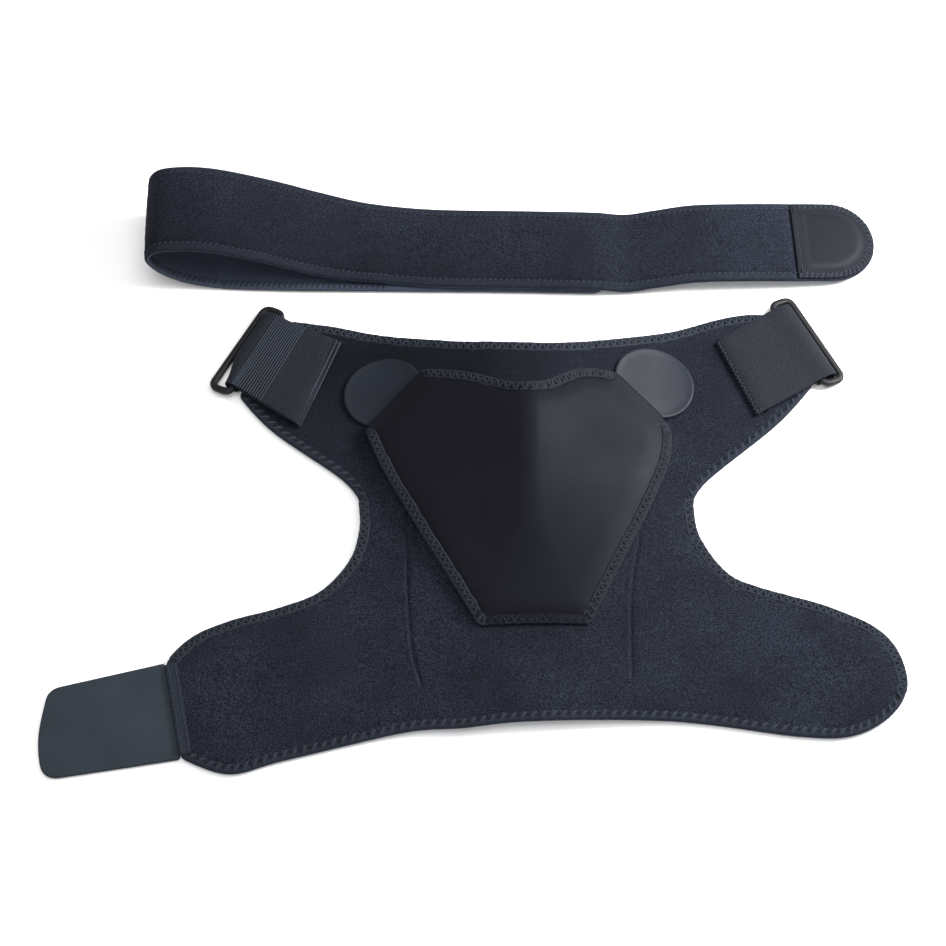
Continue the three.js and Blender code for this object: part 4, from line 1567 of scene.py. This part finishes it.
class BRACE_OT_rings(bpy.types.Operator):
    """Build the two moulded rings"""

    bl_idname = "brace.rings"
    bl_label = "Rings"

    sides = 18
    path_steps = 120
    # 1 gives the bars a round section, less a squarer one
    section_power = 0.75

    def execute(self, context):
        for side in WEB_ENDS:
            end = WingEnd(side)
            spacing = RING_BAR + RING_SLOT
            drop = math.asin((end.axis_height - RING_THICK / 2 - RING_REST_GAP) / spacing)
            out = end.x * math.cos(drop) - end.z * math.sin(drop)
            up = end.z * math.cos(drop) + end.x * math.sin(drop)
            path = self.path(spacing)
            points = self.sweep(path)
            spots = end.hinge + points[:, :1] * out + points[:, 1:2] * end.y + points[:, 2:] * up
            faces = self.faces(len(path))
            made = new_object(f"ring_{side}_bar", spots, faces, finish_named("ring plastic"))
            declare(made, f"ring_{side}", "ring_plastic", f"ring_{side}")
        return {"FINISHED"}

    @classmethod
    def path(cls, spacing):
        """The middle line of the ring's bars, a rounded rectangle."""
        turn = RING_CORNER - RING_BAR / 2
        half = (RING_LENGTH - RING_BAR) / 2
        corners = ((spacing - turn, turn - half, -90), (spacing - turn, half - turn, 0),
                   (turn, half - turn, 90), (turn, turn - half, 180))
        loop = np.vstack([arc((x, y), turn, start, start + 90, 9) for x, y, start in corners])
        return even_loop(loop, cls.path_steps, 0)

    def sweep(self, path):
        """Points of a softly squared section carried round the path."""
        angle = np.arange(self.sides) / self.sides * math.tau
        cos, sin = np.cos(angle), np.sin(angle)
        flat = np.sign(cos) * np.abs(cos) ** self.section_power * RING_BAR / 2
        rise = np.sign(sin) * np.abs(sin) ** self.section_power * RING_THICK / 2
        inward = loop_inward(path)
        plan = path[:, None, :] - inward[:, None, :] * flat[None, :, None]
        height = np.broadcast_to(rise, plan.shape[:2])
        return np.dstack([plan, height]).reshape(-1, 3)

    def faces(self, count):
        """Quads of a closed tube."""
        return [
            (r * self.sides + a, s * self.sides + a, s * self.sides + b, r * self.sides + b)
            for r, s in zip(range(count), [*range(1, count), 0])
            for a, b in zip(range(self.sides), [*range(1, self.sides), 0])
        ]


class BRACE_OT_strap(bpy.types.Operator):
    """Build the folded chest strap, its stitched edge and the hook patch on its tip"""

    bl_idname = "brace.strap"
    bl_label = "Chest strap"

    cell = 0.0032
    rim_share = 0.9
    thread_shows = 0.25
    groove = 0.0005
    inner_groove = 0.0004
    # Small stitches: from where along the strap and how high over the table they show, their distance
    # from the edge and their slant in degrees
    seam_from = 0.2
    fold_lift = 0.0015
    seam_inset = 0.0042
    seam_slant = 35
    # Overlock of the inner face, between two distances along the strap
    open_fold = (0.12, 0.34)
    # Thread of the inner and the tip's overlock, as shares of its radius, and the tip's lift over the patch
    inner_thread = 0.85
    tip_thread = 0.6
    tip_lift = 0.0004
    # The strap's step down under the patch: depth, lead and length
    patch_step = (0.0009, 0.0022, 0.002)
    patch_skew = 0.0025
    patch_thick = 0.0008
    patch_round = 0.0003
    patch_cell = 0.0024
    # How much the patch's middle stands up, and how far its underside is sunk in the strap's edge
    patch_rise = 0.0007
    patch_sunk = 0.0004
    patch_seam_inset = 0.0022

    def execute(self, context):
        sizes = context.scene.brace_sizes
        route = StrapRoute(sizes.strap_thick, sizes.strap_width)
        half = sizes.strap_width / 2
        loop = self.strap_loop(route.length, half, sizes.stitch_pitch)
        cut = Cut(loop, RIM_OFFSETS, self.cell, self.beside_patch(route.length, half))
        rim = self.rim_share * sizes.strap_thick
        upper, lower = overlocked(cut, sizes.strap_thick, rim, sizes.stitch_band, self.groove)
        past = cut.points[:, 0] - self.patch_start(route.length, half, cut.points[:, 1])
        drop, lead, run = self.patch_step
        upper = upper - drop * smooth((past + lead) / run) * smooth(cut.depth / 0.0012)
        lower = lower + self.inner_groove * hump(cut.depth, sizes.stitch_band, PRESSED_LINE)
        strap = sheet_object("strap_cloth", cut, upper, lower, route.place,
                             finish_named("looped plush"), finish_named("lining"),
                             sewn=sewn_tint(cut, sizes.stitch_band, self.thread_shows))
        declare_sheet(strap, "plush", cut, "floor", "strap", held="folded")
        self.patch(route, half, sizes)
        self.stitches(route, loop, rim, sizes)
        return {"FINISHED"}

    def stitches(self, route, loop, rim, sizes):
        """Small slanted stitches inside the edges, overlock in the open fold and round the tip."""
        steps = np.arange(len(loop))
        chosen = steps[steps % STEPS_PER_SMALL_STITCH == 0]
        height = route.place(loop[chosen], np.full(len(chosen), sizes.strap_thick))[:, 2]
        along = loop[chosen, 0]
        patch = along > route.length - PATCH_LENGTH
        lifted = (height > self.fold_lift) & (along > self.seam_from) & ~patch
        inside = (along > self.open_fold[0]) & (along < self.open_fold[1])
        row = inset_spots(
            loop, route.place, chosen[lifted], self.seam_inset, rim - 0.0001, self.seam_slant,
        )
        seam("strap_edge_seam", row)
        inner = edge_spots(loop, route.place, chosen[inside], sizes.strap_thick)
        overlock("strap_inner_overlock", inner, sizes.strap_thick, STEPS_PER_SMALL_STITCH, self.inner_thread)

        def over_patch(points, level):
            return route.place(points, level + self.tip_lift)
        tip = edge_spots(loop, over_patch, chosen[patch])
        overlock("strap_tip_overlock", tip, rim, STEPS_PER_SMALL_STITCH, self.tip_thread)

    @staticmethod
    def strap_loop(length, half, pitch):
        """The flat strap's edge: small corners at the hidden end, a half round tip."""
        corner = STRAP_HIDDEN_CORNER
        tip = arc((length - half, 0), half, -90, 90, 60)
        far = arc((corner, half - corner), corner, 90, 180, 10)
        near = arc((corner, corner - half), corner, 180, 270, 10)
        return stitched_loop(np.vstack([tip, far, near]), pitch, 2)

    def patch_start(self, length, half, across):
        """Distance along the strap of the patch's slanted straight edge."""
        return length - PATCH_LENGTH - self.patch_skew * (0.5 + across / (2 * (half - PATCH_INSET)))

    def beside_patch(self, length, half):
        """Rows of points along the patch's straight edge, where the strap steps down under it."""
        across = np.linspace(0.01 - half, half - 0.01, 24)
        start = self.patch_start(length, half, across)
        return np.vstack([np.column_stack([start + gap, across]) for gap in (-0.0022, -0.0012, -0.0002)])

    def patch(self, route, half, sizes):
        """The smooth patch on the strap's tip, bent down towards its stitched edge."""
        wide = half - PATCH_INSET
        end = route.length - PATCH_INSET
        start = route.length - PATCH_LENGTH
        tip = arc((end - wide, 0), wide, -90, 90, 60)
        corners = [(start - self.patch_skew, wide), (start, -wide)]
        loop = stitched_loop(np.vstack([tip, corners]), sizes.stitch_pitch, 1)
        cut = Cut(loop, np.concatenate([HARD_RIM_OFFSETS[:5], RIM_OFFSETS[4:]]), self.patch_cell)
        upper, lower = hard_edged(cut, self.patch_thick, self.patch_round)
        radial = wide - np.linalg.norm(cut.points - (end - wide, 0), axis=1)
        edge = np.where(cut.points[:, 0] > end - wide, radial, wide - np.abs(cut.points[:, 1]))
        plateau = smooth((edge - sizes.stitch_band + 0.0012) / 0.005)
        upper = upper + self.patch_rise * plateau
        base = self.rim_share * sizes.strap_thick - self.patch_sunk

        def place(points, height):
            return route.place(points, height + base)
        made = sheet_object("strap_hook_patch_cloth", cut, upper, lower, place,
                            finish_named("patch cloth"), edge=cut.depth)
        declare_sheet(made, "hook_cloth", cut, "strap_cloth", "strap_hook_patch")
        row = start + self.patch_seam_inset
        far = row - self.patch_skew
        spots = line_spots((row, -wide + 0.003), (far, wide - 0.003), sizes.seam_pitch, place, 0.0013)
        seam("strap_patch_seam", spots)


class BRACE_OT_stage(bpy.types.Operator):
    """Build the floor, the lights and the camera"""

    bl_idname = "brace.stage"
    bl_label = "Stage"

    camera_height = 60.0
    camera_distance = 1.5
    lens_pixels = 2850
    picture_pixels = 946
    floor_half = 6.0
    floor_drop = 0.0002
    world_strength = 0.58
    lights = (
        ("key_light", (0.56, 0.22, 0.4), 0.36, 14, (1.0, 0.99, 0.98)),
        ("fill_light", (-0.5, -1.6, 1.2), 1.4, 10.5, (0.96, 0.98, 1.0)),
        ("top_light", (0.1, 0.2, 2.4), 2.4, 34, (1.0, 1.0, 1.0)),
    )

    def execute(self, context):
        scene = context.scene
        half = self.floor_half
        corners = [
            (x * half, y * half, -self.floor_drop) for x, y in ((-1, -1), (1, -1), (1, 1), (-1, 1))
        ]
        floor = new_object("floor", corners, [(0, 1, 2, 3)], finish_named("floor"))
        aim = Vector((*LAYOUT_MIDDLE, 0))
        for name, spot, size, power, colour in self.lights:
            lamp = bpy.data.lights.new(name, "AREA")
            lamp.shape = "DISK"
            lamp.size = size
            lamp.energy = power
            lamp.color = colour
            made = bpy.data.objects.new(name, lamp)
            made.visible_camera = False
            made.location = spot
            made.rotation_euler = (aim - Vector(spot)).to_track_quat("-Z", "Y").to_euler()
            scene.collection.objects.link(made)
        world = bpy.data.worlds.new("studio")
        world.use_nodes = True
        background = world.node_tree.nodes["Background"]
        background.inputs["Color"].default_value = (1, 1, 1, 1)
        background.inputs["Strength"].default_value = self.world_strength
        scene.world = world
        scene.view_settings.view_transform = "Standard"
        self.camera(scene, aim)
        return {"FINISHED"}

    def camera(self, scene, aim):
        """A camera at the photograph's angle."""
        data = bpy.data.cameras.new("camera")
        data.sensor_width = 36.0
        data.lens = data.sensor_width * self.lens_pixels / self.picture_pixels
        made = bpy.data.objects.new("camera", data)
        rise = math.radians(self.camera_height)
        back = Vector((0, -math.cos(rise), math.sin(rise)))
        made.location = aim + back * self.camera_distance
        made.rotation_euler = (-back).to_track_quat("-Z", "Y").to_euler()
        scene.collection.objects.link(made)
        scene.camera = made


class VIEW3D_PT_shoulder_brace(bpy.types.Panel):
    """The brace's pieces, colours and sizes"""

    bl_label = "Shoulder brace"
    bl_space_type = "VIEW_3D"
    bl_region_type = "UI"
    bl_category = "Brace"

    def draw(self, context):
        layout = self.layout
        for step in STEPS:
            layout.operator(step.bl_idname)
        for group in (context.scene.brace_colours, context.scene.brace_sizes):
            for key in group.__annotations__:
                layout.prop(group, key)


STEPS = (
    BRACE_OT_stage,
    BRACE_OT_body_panel,
    BRACE_OT_hook_tab,
    BRACE_OT_ears,
    BRACE_OT_pocket_flap,
    BRACE_OT_webbing,
    BRACE_OT_rings,
    BRACE_OT_strap,
)
CLASSES = (BraceColours, BraceSizes, *STEPS, VIEW3D_PT_shoulder_brace)


def register():
    """Registers the classes and the scene's settings."""
    for cls in CLASSES:
        bpy.utils.register_class(cls)
    bpy.types.Scene.brace_colours = PointerProperty(type=BraceColours)
    bpy.types.Scene.brace_sizes = PointerProperty(type=BraceSizes)


def unregister():
    """Takes back what register did."""
    del bpy.types.Scene.brace_sizes
    del bpy.types.Scene.brace_colours
    for cls in reversed(CLASSES):
        bpy.utils.unregister_class(cls)


def main():
    """Builds every piece in order."""
    register()
    bpy.ops.brace.stage()
    bpy.ops.brace.body_panel()
    bpy.ops.brace.hook_tab()
    bpy.ops.brace.ears()
    bpy.ops.brace.pocket_flap()
    bpy.ops.brace.webbing()
    bpy.ops.brace.rings()
    bpy.ops.brace.strap()


if __name__ == "__main__":
    main()
